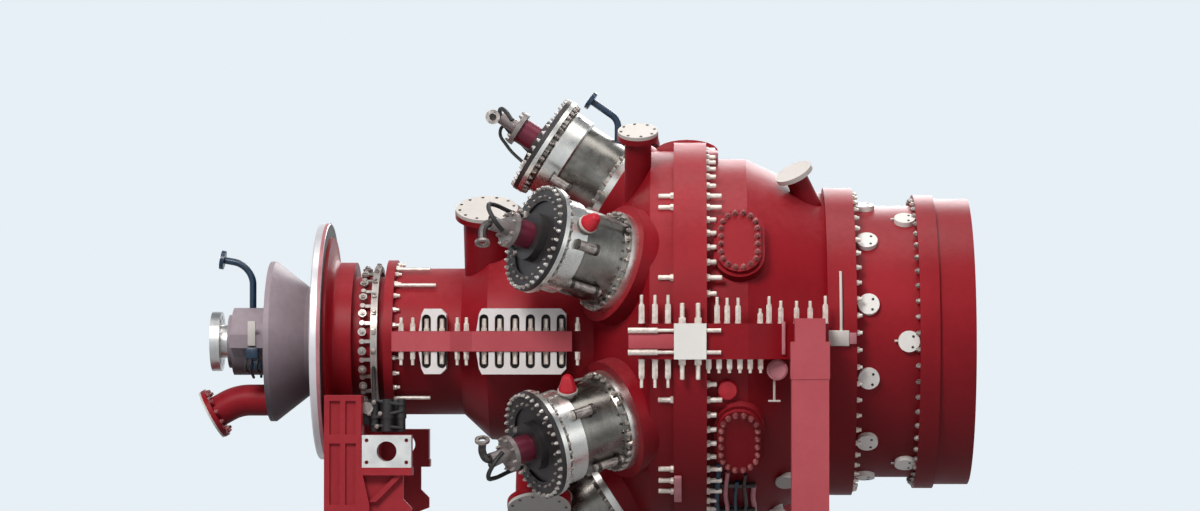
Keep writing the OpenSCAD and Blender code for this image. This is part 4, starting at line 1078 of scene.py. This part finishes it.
@dataclass(frozen=True)
class CanFittings(Assembly):
    """Bolt rings, caps, stubs, slim pipes and fuel hoses of the combustor cans."""

    azimuths: tuple[float, ...] = tuple(CAN_STEP * number for number in range(6))
    body_r: float = 0.272
    dull_circles: tuple[tuple[BoltCircle, float], ...] = (
        (BoltCircle(Nut(0.026, 0.02, 0.0095, 0.01), 28, 0.302), 0.046),
        (BoltCircle(Nut(0.016, 0.01, 0.006, 0.005), 24, 0.262), 0.554),
        (BoltCircle(Nut(0.02, 0.016, 0.007, 0.008), 8, 0.098), 0.744),
    )
    under: BoltCircle = BoltCircle(Nut(0.024, 0.018, 0.009, 0.012), 36, 0.317, 5.0)
    under_z: float = 0.496
    rim: BoltCircle = BoltCircle(Nut(0.021, 0.013, 0.0075, 0.01), 36, 0.319)
    rim_z: float = 0.554
    bars: Rows = (
        (60.0, -75.0, 0.13, 0.36), (120.0, -20.0, 0.1, 0.3), (240.0, 20.0, 0.1, 0.3),
        (300.0, 75.0, 0.13, 0.36),
    )
    bar_r: float = 0.024
    bar_out: float = 0.03
    clip_rise: float = 0.006
    clip_h: float = 0.02
    spots: Rows = (
        (0.0, 150.0, 0.30, -120.0, 0.30), (60.0, 0.0, 0.36, -27.0, 0.34), (120.0, 90.0, 0.31, 54.0, 0.31),
        (180.0, 120.0, 0.28, 60.0, 0.26), (240.0, -90.0, 0.31, -54.0, 0.31), (300.0, 0.0, 0.36, 27.0, 0.34),
    )
    neck: Profile = ((0, -0.02), (0.038, -0.02), (0.038, 0.03), (0.062, 0.03), (0.062, 0.044), (0, 0.044))
    cap: Profile = (
        (0, 0.046), (0.056, 0.046), (0.056, 0.062), (0.05, 0.072), (0.036, 0.124), (0.02, 0.144), (0, 0.147),
    )
    stub: Point = (-0.065, 0.031, 0.115)
    stub_out: float = 0.035
    stub_rings: tuple[Point, ...] = ((0.05, 0.036, 0.02), (-0.075, 0.034, 0.01))
    slim_r: float = 0.0095
    slim_step: float = 14.0
    slim_end: tuple[Point, ...] = ((1.3, 0.14, 0.036), (1.3, 0.07, 0.03))
    slim_foot_at: Point = (1.3, 0.066, 0.012)
    slim_foot: Point = (0.03, 0.034, 0.05)
    hose_ways: tuple[float, ...] = (-1.0, -1.0, 1.0, 1.0, -1.0, 1.0)
    elbow: tuple[Point, ...] = ((0, 0, 0.835), (0, 0.01, 0.885), (-0.02, 0.05, 0.905), (-0.03, 0.12, 0.9))
    long_hose: tuple[Point, ...] = (
        (0.02, 0.04, 0.79), (0.05, 0.0, 0.87), (0.03, -0.09, 0.9), (-0.03, -0.16, 0.82), (-0.06, -0.17, 0.7),
        (-0.09, -0.19, 0.57),
    )
    short_hose: tuple[Point, ...] = (
        (0, -0.04, 0.8), (-0.07, -0.09, 0.83), (-0.13, -0.05, 0.74), (-0.17, 0.02, 0.57),
    )
    elbow_ring: Profile = ((0.024, 0), (0.046, 0), (0.046, 0.016), (0.024, 0.016))
    elbow_ring_at: Point = (-0.03, 0.128, 0.9)
    hose_feet: tuple[tuple[float, float, Point], ...] = (
        (-0.09, -0.19, (0.06, 0.05, 0.04)), (-0.17, 0.02, (0.045, 0.045, 0.035)),
    )
    hose_foot_z: float = 0.575

    def build(self) -> None:
        """Builds the fasteners and the fittings of every can."""
        self.nuts()
        self.fittings()
        self.hoses()

    def can(self, az: float) -> Matrix:
        """Mounting face of the can at an angle from the top, with Z out along the can."""
        return self.shaft.at(CAN_FACE[0], az, CAN_FACE[2]) @ turn(CAN_LEAN - 90, "Y")

    def beside(self, az: float, angle: float, z: float, out: float = 0.0) -> Matrix:
        """Place round and along a can, at a distance over its side, with Z away from the can's axis."""
        return self.can(az) @ shift(z=z) @ turn(angle, "Z") @ shift(self.body_r + out) @ turn(90, "Y")

    def nuts(self) -> None:
        """Rings of nuts on the foot, on both faces of the end flange and on the fuel flange."""
        dull, bright = Forge(), Forge()
        for circle, z in self.dull_circles:
            dull.absorb(circle.forge(), shift(z=z))
        dull.absorb(self.under.forge(), shift(z=self.under_z) @ turn(180, "X"))
        bright.absorb(self.rim.forge(), shift(z=self.rim_z))
        look = self.palette
        for name, local, finish in (("can_nuts", dull, look.bolt), ("can_cover_nuts", bright, look.plated)):
            forge = Forge()
            for az in self.azimuths:
                forge.absorb(local, self.can(az))
            forge.piece(name, finish)

    def fittings(self) -> None:
        """Capped necks, small lying cylinders and slim pipes on the cans' sides."""
        necks, caps, stubs, rings = (Forge() for _ in range(4))
        for az, angle, low, high in self.bars:
            bar = self.beside(az, angle, low, self.bar_out) @ turn(-90, "Y")
            stubs.cylinder(bar, self.bar_r, high - low)
            for z in (self.clip_h, high - low - 2 * self.clip_h):
                rings.cylinder(bar @ shift(z=z), self.bar_r + self.clip_rise, self.clip_h)
        for az, cap_at, cap_z, stub_at, stub_z in self.spots:
            place = self.beside(az, cap_at, cap_z)
            necks.lathe(place, self.neck, 24)
            caps.lathe(place, self.cap, 24)
            lying = self.beside(az, stub_at, stub_z, self.stub_out) @ turn(90, "Y")
            for forge, (z, r, h) in ((stubs, self.stub), *((rings, ring) for ring in self.stub_rings)):
                forge.cylinder(lying @ shift(z=z), r, h, 22)
            step = math.copysign(self.slim_step, cap_at - stub_at)
            route = ((0.6, cap_z, 0.034), (1.1, cap_z - 0.05, 0.04), *self.slim_end)
            path = [self.beside(az, cap_at + step * share, z, out).translation for share, z, out in route]
            stubs.tube(path, self.slim_r)
            share, z, out = self.slim_foot_at
            rings.block(self.beside(az, cap_at + share * step, z, out), self.slim_foot, 0.003)
        necks.piece("can_necks", self.palette.cover, "white_rim")
        caps.piece("can_caps", self.palette.signal)
        stubs.piece("can_stubs", self.palette.bolt)
        rings.piece("can_clips", self.palette.dark)

    def hoses(self) -> None:
        """Elbow, ring and looped hoses at the outer end of each fuel nozzle."""
        elbow, hose, ring = (Forge() for _ in range(3))
        lines = ((elbow, self.elbow, 0.024), (hose, self.long_hose, 0.014), (hose, self.short_hose, 0.011))
        for az, way in zip(self.azimuths, self.hose_ways):
            place = self.can(az)
            for forge, path, r in lines:
                forge.tube([(x, way * y, z) for x, y, z in path], r, place)
            x, y, z = self.elbow_ring_at
            ring.lathe(place @ shift(x, way * y, z) @ turn(-90 * way, "X"), self.elbow_ring, 22)
            for x, y, size in self.hose_feet:
                ring.block(place @ shift(x, way * y, self.hose_foot_z), size, 0.004)
        elbow.piece("fuel_elbows", self.palette.dark)
        hose.piece("fuel_hoses", self.palette.black)
        ring.piece("fuel_rings", self.palette.bolt)


@dataclass(frozen=True)
class ExhaustFittings(Assembly):
    """Fasteners of the exhaust flanges, the port covers' tabs and black discs painted as the shade of their
    holes, and the box at the joint.
    """

    count: int = 56
    edge: float = 0.036
    start: float = 3.2
    joint_nut: Nut = Nut(0.03, 0.018, 0.0115, 0.016)
    end_nut: Nut = Nut(0.03, 0.018, 0.01, 0.008)
    port_rows: tuple[tuple[float, int], ...] = ((1.1, 12), (1.346, 6))
    port_out: float = 0.895
    port_hole_shades: Pairs = ((0.026, 0.03), (0.022, -0.036))
    hole_r: float = 0.0085
    tab_at: Point = (-0.078, 0.004, -0.012)
    tab: Point = (0.022, 0.014, 0.01)
    box_x: float = 0.907
    box_z: float = 0.019
    box_out: float = 0.018
    box: Point = (0.134, 0.096, 0.03)
    box_end: Point = (0.044, 0.07, 0.024)
    box_step: float = 0.09
    rod_x: float = 0.925
    rod_r: float = 0.009
    rod_out: float = 0.014
    rod_heights: tuple[float, ...] = (0.062, 0.16, 0.26, 0.36, 0.43)

    def build(self) -> None:
        """Builds the nuts, the ports' details and the joint's box."""
        self.nuts()
        self.ports()
        self.joint_box()

    def nuts(self) -> None:
        """Nuts on the rear of the joint flange and on the front of the end flange."""
        joint, end = self.shaft.span("exhaust_joint_flange"), self.shaft.span("exhaust_flange")
        look = self.palette
        for name, nut, face, radius, heading, finish in (
            ("exhaust_joint_nuts", self.joint_nut, joint.rear, joint.radius, Heading.REARWARD, look.stud),
            ("exhaust_end_nuts", self.end_nut, end.front, end.radius, Heading.FORWARD, look.bolt),
        ):
            forge = Forge()
            circle = BoltCircle(nut, self.count, radius - self.edge, self.start)
            forge.absorb(circle.forge(), self.shaft.along(face, 0, 0, heading))
            forge.piece(name, finish)

    def ports(self) -> None:
        """Black discs painted as the shade of the holes in each port cover, and the tab at its front."""
        hole_shades, tabs = Forge(), Forge()
        for station, number in self.port_rows:
            for step in range(number):
                place = self.shaft.at(station, 360 * (step + 0.5) / number, self.port_out)
                for x, y in self.port_hole_shades:
                    # Thin black disc: painted shade standing in for a hole
                    hole_shades.cylinder(place @ shift(x, y), self.hole_r, 0.0015, 12)
                tabs.block(place @ shift(*self.tab_at), self.tab, 0.002)
        hole_shades.piece("port_hole_shades", self.palette.black)
        tabs.piece("port_tabs", self.palette.cover)

    def joint_box(self) -> None:
        """Small box on the joint flange with a thin rod rising from it along the flange, which also paints
        the light line on the flange's edge as a painted highlight.
        """
        rim = self.shaft.span("exhaust_joint_flange").radius
        box, end, rod = (Forge() for _ in range(3))
        blocks = ((box, self.box_x, self.box), (end, self.box_x + self.box_step, self.box_end))
        for side in Side:
            for forge, x, size in blocks:
                forge.block(self.shaft.outwards(x, self.box_z, rim + self.box_out, side), size, 0.005)
            route = [(math.sqrt(rim**2 - z**2) + self.rod_out, z) for z in self.rod_heights]
            rod.tube([self.shaft.upright(self.rod_x, side * y, z).translation for y, z in route], self.rod_r)
        box.piece("joint_boxes", self.palette.cover)
        end.piece("joint_box_ends", self.palette.rose)
        # The cream rod is built as a conduit and is partly a painted highlight along the flange's edge
        rod.piece("joint_rods", self.palette.cover)


@dataclass(frozen=True)
class CoverFittings(Assembly):
    """Bolts of the long inspection covers and of the blanking covers, and the rear nozzle's white cap."""

    hatch_x: float = 0.300
    hatch_az: float = 30.0
    hatch_face_r: float = 1.232
    hatch_half_w: float = 0.135
    hatch_reach: float = 0.085
    hatch_edge: float = 0.024
    per_end: int = 8
    middle: tuple[float, float] = (-0.028, 0.028)
    nut: Nut = Nut(0.03, 0.022, 0.01, 0.012)
    blanks: tuple[tuple[float, float, float, float, int], ...] = (
        (-1.280, 25, 0.927, 0.172, 12), (-0.326, 25, 1.452, 0.106, 8), (-0.941, 150, 1.212, 0.172, 12),
    )
    flush_r: float = 0.0095
    flush_h: float = 0.003
    flush_start: float = 0.2
    nozzle_x: float = 0.730
    nozzle_lean: float = 25.0
    nozzle_l: float = 0.175
    narrowing: float = 0.225 / 0.493
    cap: Profile = (
        (0.117, -0.004), (0.121, -0.004), (0.121, 0.026), (0, 0.026), (0, 0.0225), (0.117, 0.0225),
    )

    def build(self) -> None:
        """Builds the bolts of all the covers and the cap."""
        self.hatches()
        self.flush_bolts()
        self.nozzle_cap()

    def hatches(self) -> None:
        """Bolts round the four round-ended inspection covers."""
        r = self.hatch_half_w - self.hatch_edge
        turns = [math.pi * step / (self.per_end - 1) for step in range(self.per_end)]
        spots = [
            (r * math.cos(t), sign * (self.hatch_reach + r * math.sin(t))) for sign in (-1, 1) for t in turns
        ]
        spots += [(sign * r, y) for sign in (-1, 1) for y in self.middle]
        cover, forge = Forge(), Forge()
        for x, y in spots:
            cover.absorb(self.nut.forge(), shift(x, y))
        for side in Side:
            for up in (-1, 1):
                az = side * (90 - up * self.hatch_az)
                forge.absorb(cover, self.shaft.at(self.hatch_x, az, self.hatch_face_r))
        forge.piece("inspection_cover_bolts", self.palette.hatch_bolt)

    def flush_bolts(self) -> None:
        """Flush bolts round each blanking cover."""
        forge = Forge()
        for side in Side:
            for station, az, out, pitch_r, count in self.blanks:
                circle = Forge()
                circle.cylinder(shift(pitch_r), self.flush_r, self.flush_h, 12)
                circle.ring(count)
                place = self.shaft.at(station, side * az, out)
                forge.absorb(circle, place @ Matrix.Rotation(self.flush_start, 4, "Z"))
        forge.piece("cover_bolts", self.palette.dark)

    def nozzle_cap(self) -> None:
        """White cap on the leaning nozzle of the turbine casing."""
        surface_r = TURBINE_R - (self.nozzle_x - TAPER_X) * self.narrowing
        mouth = self.shaft.at(self.nozzle_x, self.nozzle_lean, surface_r) @ turn(-self.nozzle_lean, "Y")
        forge = Forge()
        forge.lathe(mouth @ shift(z=self.nozzle_l), self.cap, 40)
        forge.piece("rear_nozzle_cap", self.palette.cover)


@dataclass(frozen=True)
class IntakeFittings(Assembly):
    """Back of the bellmouth ring, vane pins, bearing fittings, pipe faces and the drain's bolts."""

    mouths: tuple[Matrix, ...]
    vanes: int = 24
    back_in_r: float = 0.668
    back_edge: float = 0.006
    edge_run: tuple[float, float] = (-0.024, -0.003)
    edge_t: float = 0.0012
    pin_x: float = 0.068
    pin_out: float = 0.452
    pin_r: float = 0.026
    pin_h: float = 0.014
    pin_nut: Nut = Nut(0.028, 0.012, 0.008, 0.008)
    clevis: Point = (0.03, 0.036, 0.012)
    clevis_x: float = 0.02
    clevis_nut: Nut = Nut(0.018, 0.01, 0.006, 0.004)
    bearing_out: float = 0.008
    bearing_plate: tuple[Point, Point] = ((0.026, 0.05, 0.0), (0.05, 0.156, 0.02))
    bearing_boxes: tuple[tuple[Point, Point], ...] = (
        ((0.03, -0.075, 0.0), (0.08, 0.07, 0.045)), ((0.055, -0.15, -0.03), (0.06, 0.06, 0.05)),
    )
    bearing_drops: Pairs = ((0.0, -0.2), (0.03, -0.23), (0.07, -0.2))
    face: Profile = ((0.02, 0.0), (0.046, 0.0), (0.046, 0.003), (0.02, 0.003))
    drain_lean: float = 29.0
    drain_r: float = 0.165
    drain_back: float = 0.03
    drain_circle: BoltCircle = BoltCircle(Nut(0.024, 0.016, 0.0095, 0.01), 12, 0.14)

    def build(self) -> None:
        """Builds the intake's fittings."""
        self.ring_back()
        self.pins()
        self.bearing()
        self.pipe_faces()

    def ring_back(self) -> None:
        """Black sheet on the back of the bellmouth ring as painted shade, and the ring's coloured rear edge.
        """
        ring = self.shaft.span("bellmouth_ring")
        place = self.shaft.along(ring.rear, 0, 0, Heading.REARWARD)
        back_r = ring.radius - self.back_edge
        for name, finish, (inner, outer), (low, high) in (
            # The black ring on the back face is painted shade
            ("ring_back", self.palette.black, (self.back_in_r, back_r), (0.0003, 0.002)),
            ("ring_edge", self.palette.rose, (ring.radius, ring.radius + self.edge_t), self.edge_run),
        ):
            forge = Forge()
            forge.lathe(place, ((inner, low), (outer, low), (outer, high), (inner, high)), 96)
            forge.piece(name, finish)

    def pins(self) -> None:
        """Pins on the vane levers, and the clevises that hold them on the unison ring."""
        unison, drum = self.shaft.span("unison_ring"), self.shaft.span("vane_drum")
        pin, clevis = Forge(), Forge()
        for step in range(self.vanes):
            az = 360 * (step + 0.5) / self.vanes
            spot = self.shaft.at(drum.front + self.pin_x, az, self.pin_out)
            pin.cylinder(spot, self.pin_r, self.pin_h, 18)
            pin.absorb(self.pin_nut.forge(), spot @ shift(z=self.pin_h))
            seat = self.shaft.at(unison.front + self.clevis_x, az, unison.radius)
            clevis.block(seat @ shift(z=self.clevis[2] / 2), self.clevis, 0.003)
            clevis.absorb(self.clevis_nut.forge(), seat @ shift(z=self.clevis[2]))
        pin.piece("vane_pins", self.palette.linkage)
        clevis.piece("ring_clevises", self.palette.bolt)

    def bearing(self) -> None:
        """Bright plate, dark boxes and small pipes on the side of the bearing housing."""
        low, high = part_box("bearing_housing")
        middle = (low.x + high.x) / 2 - self.shaft.joint_x
        face = high.y + self.bearing_out
        plate, box, pipe = (Forge() for _ in range(3))
        blocks = ((plate, self.bearing_plate, 0.004), *((box, item, 0.006) for item in self.bearing_boxes))
        for side in Side:
            for forge, ((x, z, out), size), bevel in blocks:
                forge.block(self.shaft.outwards(middle + x, z, face + out, side), size, bevel)
            for x, drop in self.bearing_drops:
                route = ((0, face, -0.1), (-0.01, face + 0.03, -0.15), (0, face * 0.7, drop))
                points = [self.shaft.upright(middle + x + dx, side * y, z).translation for dx, y, z in route]
                pipe.tube(points, 0.009)
        plate.piece("bearing_plates", self.palette.cover, "white_rim")
        box.piece("bearing_boxes", self.palette.navy)
        pipe.piece("bearing_pipes", self.palette.black)

    def pipe_faces(self) -> None:
        """Bright faces on the flanges of the small pipes, and bolts behind the drain's flange."""
        face, bolts = Forge(), Forge()
        for mouth in self.mouths:
            face.lathe(mouth, self.face, 40)
        low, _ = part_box("drain_duct")
        lean = math.radians(self.drain_lean)
        middle = shift(low.x + self.drain_r * math.sin(lean), 0, low.z + self.drain_r * math.cos(lean))
        behind = middle @ turn(-90 - self.drain_lean, "Y") @ shift(z=-self.drain_back) @ turn(180, "X")
        bolts.absorb(self.drain_circle.forge(), behind)
        face.piece("pipe_faces", self.palette.rim)
        bolts.piece("drain_bolts", self.palette.hatch_bolt)


@dataclass(frozen=True)
class SideFittings(Assembly):
    """Fittings on both sides of the turbine casing, and the linkages over the support plates."""

    plug: Profile = ((0, 0), (0.06, 0), (0.064, 0.012), (0.056, 0.03), (0.03, 0.036), (0, 0.037))
    plug_at: Point = (0.226, 104.5, 1.166)
    boss: Profile = (
        (0, -0.14), (0.05, -0.14), (0.05, 0), (0.064, 0), (0.064, 0.016), (0.052, 0.022),
        (0.048, 0.014), (0, 0.014),
    )
    boss_at: Point = (0.528, -0.172, 1.185)
    boss_rod: tuple[Point, ...] = ((0.512, 1.16, -0.235), (0.512, 1.14, -0.36))
    boss_rod_r: float = 0.008
    rod_foot_at: Point = (0.512, 1.14, -0.362)
    rod_foot: Point = (0.075, 0.03, 0.012)
    strip_at: Point = (0.566, 0.02, 1.248)
    strip: Point = (0.022, 0.2, 0.016)
    low_ports: tuple[tuple[Point, float], ...] = (
        ((0.591, 143.0, 1.086), 0.062), ((0.550, 166.0, 1.1), 0.052),
    )
    port_lip: float = 0.018
    pipe_runs: Rows = (
        (0.17, 0.017, 128, 168, 1.215), (0.225, 0.014, 132, 160, 1.2), (0.285, 0.012, 136, 172, 1.2),
        (0.34, 0.011, 133, 158, 1.2), (0.395, 0.016, 140, 170, 1.185),
    )
    pipe_steps: int = 5
    wave: float = 0.007
    narrowing: float = 0.4564
    clip_spots: tuple[Point, ...] = ((0.27, 138, 1.19), (0.27, 152, 1.19))
    clip: Point = (0.27, 0.03, 0.03)
    link_y: float = 0.66
    right_reach: float = 0.2
    left_reach: float = 0.09
    link_posts: Pairs = ((0.1, 0.03), (0.5, 0.042), (0.95, 0.026))
    post_foot: Point = (0.04, 0.02, 0.2)
    post_collar: tuple[float, float] = (0.1, 0.03)
    link_x: float = 0.045
    link_bars: Pairs = ((0.05, 6.0), (0.125, -14.0), (0.2, 9.0))
    bar_section: tuple[float, float] = (0.03, 0.018)
    link_wall: Point = (0.6, 0.115, 0.2)
    wall_t: float = 0.02
    link_plate: Point = (0.17, 0.016, 0.12)
    plate_x: float = -0.045
    link_nut_y: float = 0.696
    ring_end: Point = (0.02, 110.0, 0.004)
    knee: Point = (0.06, 0.62, 0.2)
    link_rod_r: float = 0.012
    link_boss_at: Point = (0.02, 0.165, 0.69)
    link_nuts: Pairs = ((0.03, 0.13), (0.06, 0.2), (0.1, 0.13), (0.08, 0.05))
    link_nut: Nut = Nut(0.024, 0.012, 0.008, 0.01)
    link_boss: Profile = ((0, 0), (0.037, 0), (0.037, 0.02), (0.016, 0.02), (0.016, 0.028), (0, 0.028))

    def build(self) -> None:
        """Builds the fittings of both sides."""
        self.caps()
        self.pipes()
        self.linkages()

    def caps(self) -> None:
        """Plug, capped boss with its rod, bar on the split flange and the lower port covers."""
        plug, rose, cream, cover = (Forge() for _ in range(4))
        for side in Side:
            x, az, out = self.plug_at
            plug.lathe(self.shaft.at(x, -side * az, out), self.plug, 28)
            rose.lathe(self.shaft.outwards(*self.boss_at, side), self.boss)
            points = [self.shaft.upright(x, side * y, z).translation for x, y, z in self.boss_rod]
            cream.tube(points, self.boss_rod_r)
            x, y, z = self.rod_foot_at
            cream.block(self.shaft.upright(x, side * y, z), self.rod_foot, 0.002)
            rose.block(self.shaft.outwards(*self.strip_at, side), self.strip, 0.004)
            for (x, az, out), r in self.low_ports:
                neck = r - self.port_lip
                profile = ((0, -0.06), (neck, -0.06), (neck, 0), (r, 0), (r, 0.016), (0, 0.016))
                cover.lathe(self.shaft.at(x, -side * az, out), profile)
        plug.piece("casing_plugs", self.palette.signal)
        rose.piece("casing_bosses", self.palette.rose)
        cream.piece("boss_rods", self.palette.cover)
        cover.piece("lower_port_covers", self.palette.cover)

    def pipes(self) -> None:
        """Small pipes that run round the lower part of the turbine casing."""
        navy, rose, steel = (Forge() for _ in range(3))
        for side in Side:
            for forge, (station, r, first, last, out) in zip((navy, rose, navy, steel, rose), self.pipe_runs):
                points = []
                for step in range(self.pipe_steps + 1):
                    az = first + (last - first) * step / self.pipe_steps
                    x = station + self.wave * math.sin(1.7 * step + 9 * station)
                    taper = max(0.0, x - TAPER_X) * self.narrowing
                    points.append(self.shaft.at(x, -side * az, out - taper).translation)
                forge.tube(points, r)
            for x, az, out in self.clip_spots:
                steel.block(self.shaft.at(x, -side * az, out), self.clip, 0.004)
        navy.piece("casing_pipes_navy", self.palette.navy)
        rose.piece("casing_pipes_primer", self.palette.rose)
        steel.piece("casing_pipes_steel", self.palette.dark)

    def linkages(self) -> None:
        """Vane linkages between the intake and the support plates, in black that paints the shadow they sit
        in.
        """
        low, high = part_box("support_plate_right")
        left, top = low.x - self.shaft.joint_x, high.z - self.shaft.axis_z
        unison = self.shaft.span("unison_ring")
        dark, bright = Forge(), Forge()
        for side in Side:
            y = side * self.link_y
            reach = self.right_reach if side is Side.RIGHT else self.left_reach
            middle = left + self.link_x + reach / 2
            foot, rise, tall = self.post_foot
            collar, thick = self.post_collar
            for share, r in self.link_posts:
                x = left + foot + share * reach
                dark.cylinder(self.shaft.upright(x, y, top + rise), r * (0.4 + 3 * reach), tall)
                dark.cylinder(self.shaft.upright(x, y, top + collar), r * (0.5 + 3.6 * reach), thick)
            for z, tilt in self.link_bars:
                bar = self.shaft.upright(middle, y + side * 0.02, top + z) @ turn(tilt, "Y")
                dark.block(bar, (reach, *self.bar_section), 0.004)
            wall_y, z, tall = self.link_wall
            dark.block(self.shaft.upright(middle, side * wall_y, top + z), (reach, self.wall_t, tall), 0.004)
            for nut_x, nut_z in self.link_nuts:
                place = self.shaft.outwards(left + nut_x, top + nut_z, self.link_nut_y, side)
                bright.absorb(self.link_nut.forge(), place)
            dark.block(self.shaft.upright(left + self.plate_x, y, top + z), self.link_plate, 0.003)
            x, az, out = self.ring_end
            ring = self.shaft.at(unison.front + x, -side * az, unison.radius + out).translation
            x, out, z = self.knee
            dark.tube([ring, self.shaft.upright(left + x, side * out, top + z).translation], self.link_rod_r)
            x, z, out = self.link_boss_at
            bright.lathe(self.shaft.outwards(left + x, top + z, out, side), self.link_boss, 26)
        # Their black finish is painted shade
        dark.piece("vane_linkages", self.palette.black)
        bright.piece("linkage_bolts", self.palette.bolt)


# Studio


@dataclass(frozen=True)
class Studio:
    """Camera, floor, backdrop and soft light."""

    shaft: Shaft
    station: float = -0.006
    distance: float = 23.68
    lens: float = 111.0
    yaw: float = 1.38
    pitch: float = 1.33
    pale: Colour = (0.8, 0.87, 0.92)
    floor: Colour = (0.54, 0.57, 0.6)
    overhead: Colour = (0.3, 0.33, 0.36)
    even: float = 0.13
    floor_half: float = 400.0
    fade: tuple[float, float] = (6.0, 15.0)
    rise: tuple[float, float] = (0.25, 0.75)
    lamps: tuple[tuple[str, Point, float, float], ...] = (
        ("key", (-4.5, -12.0, 10.8), 5.0, 1600.0), ("top", (1.0, -1.0, 10.0), 6.0, 380.0),
        ("fill", (10.0, -12.0, 3.5), 6.0, 130.0), ("back", (3.0, 12.0, 8.5), 7.0, 900.0),
    )

    def build(self) -> None:
        """Builds the whole studio."""
        self.camera()
        self.stage()
        self.backdrop()
        self.lights()

    def camera(self) -> None:
        """Places the camera at the photograph's viewing angle."""
        data = bpy.data.cameras.new("camera")
        data.lens = self.lens
        data.sensor_width = 36.0
        data.clip_end = 200.0
        camera = add_object("camera", data)
        camera.location = (self.shaft.joint_x + self.station, -self.distance, self.shaft.axis_z)
        camera.rotation_euler = (math.radians(90 + self.pitch), 0.0, math.radians(self.yaw))
        bpy.context.scene.camera = camera

    def stage(self) -> None:
        """Makes the pale floor, which fades into the backdrop far from the machine."""
        bm = bmesh.new()
        bmesh.ops.create_grid(bm, x_segments=1, y_segments=1, size=self.floor_half)
        mesh = bpy.data.meshes.new("floor")
        bm.to_mesh(mesh)
        bm.free()
        shader = Shader("floor_paint", 0.9, 0.0)
        shader.paint({"Base Color": (*self.floor, 1.0), "Specular IOR Level": 0.1})
        away = shader.node("VectorMath", {0: shader.point}, operation="LENGTH")["Value"]
        fade = shader.math("MULTIPLY", shader.spread(away, *self.fade), shader.seen())
        glow = shader.node("Emission", {"Color": (*self.pale, 1.0)})[0]
        both = shader.node("MixShader", {0: fade, 1: shader.surface.outputs[0], 2: glow})[0]
        shader.fill(shader.output, {"Surface": both})
        mesh.materials.append(shader.material)
        floor = add_object("floor", mesh)

    def backdrop(self) -> None:
        """Gives the world a little even light, and the pale backdrop where it is seen, darker overhead."""
        world = bpy.data.worlds.new("studio")
        graph = Graph(world)
        height = graph.parts(graph.node("TexCoord")["Generated"])[2]
        shown = graph.blend(graph.spread(height, *self.rise), self.pale, self.overhead)
        colour = graph.blend(graph.seen(), (self.even,) * 3, shown)
        graph.node("OutputWorld", {"Surface": graph.node("Background", {"Color": colour})[0]})
        bpy.context.scene.world = world

    def lights(self) -> None:
        """Lights the machine softly from above, from the front and from behind."""
        middle = Vector((0.0, 0.0, self.shaft.axis_z))
        for name, place, size, power in self.lamps:
            data = bpy.data.lights.new(name, "AREA")
            data.size = size
            data.energy = power
            lamp = add_object(name, data)
            lamp.location = place
            lamp.rotation_euler = (middle - Vector(place)).to_track_quat("-Z", "Y").to_euler()


def mouth_of(frame: dict[str, Any], name: str) -> Matrix:
    """Place at a mount of the frame's record, with Z along the mount's axis."""
    mount = next(item for item in frame["record"]["mounts"] if item["name"] == name)
    return shift(*mount["pos_m"]) @ Vector(mount["axis"]).to_track_quat("Z", "Y").to_matrix().to_4x4()


def main() -> None:
    """Builds the looks of the whole machine."""
    logging.basicConfig(level=logging.INFO, format="%(name)s: %(message)s")
    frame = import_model()
    bpy.context.scene.view_settings.view_transform = "Standard"
    shaft = Shaft.from_frame()
    palette = Palette(shaft)
    mouths = tuple(mouth_of(frame, name) for name in ("vent_mouth", "top_pipe_mouth"))
    Studio(shaft).build()
    Dressing(palette).dress(frame["nodes"])
    for part in (
        MainJoint(shaft, palette), CompressorJoint(shaft, palette), CanFittings(shaft, palette),
        ExhaustFittings(shaft, palette), CoverFittings(shaft, palette),
        IntakeFittings(shaft, palette, mouths), SideFittings(shaft, palette),
    ):
        part.build()


if __name__ == "__main__":
    main()
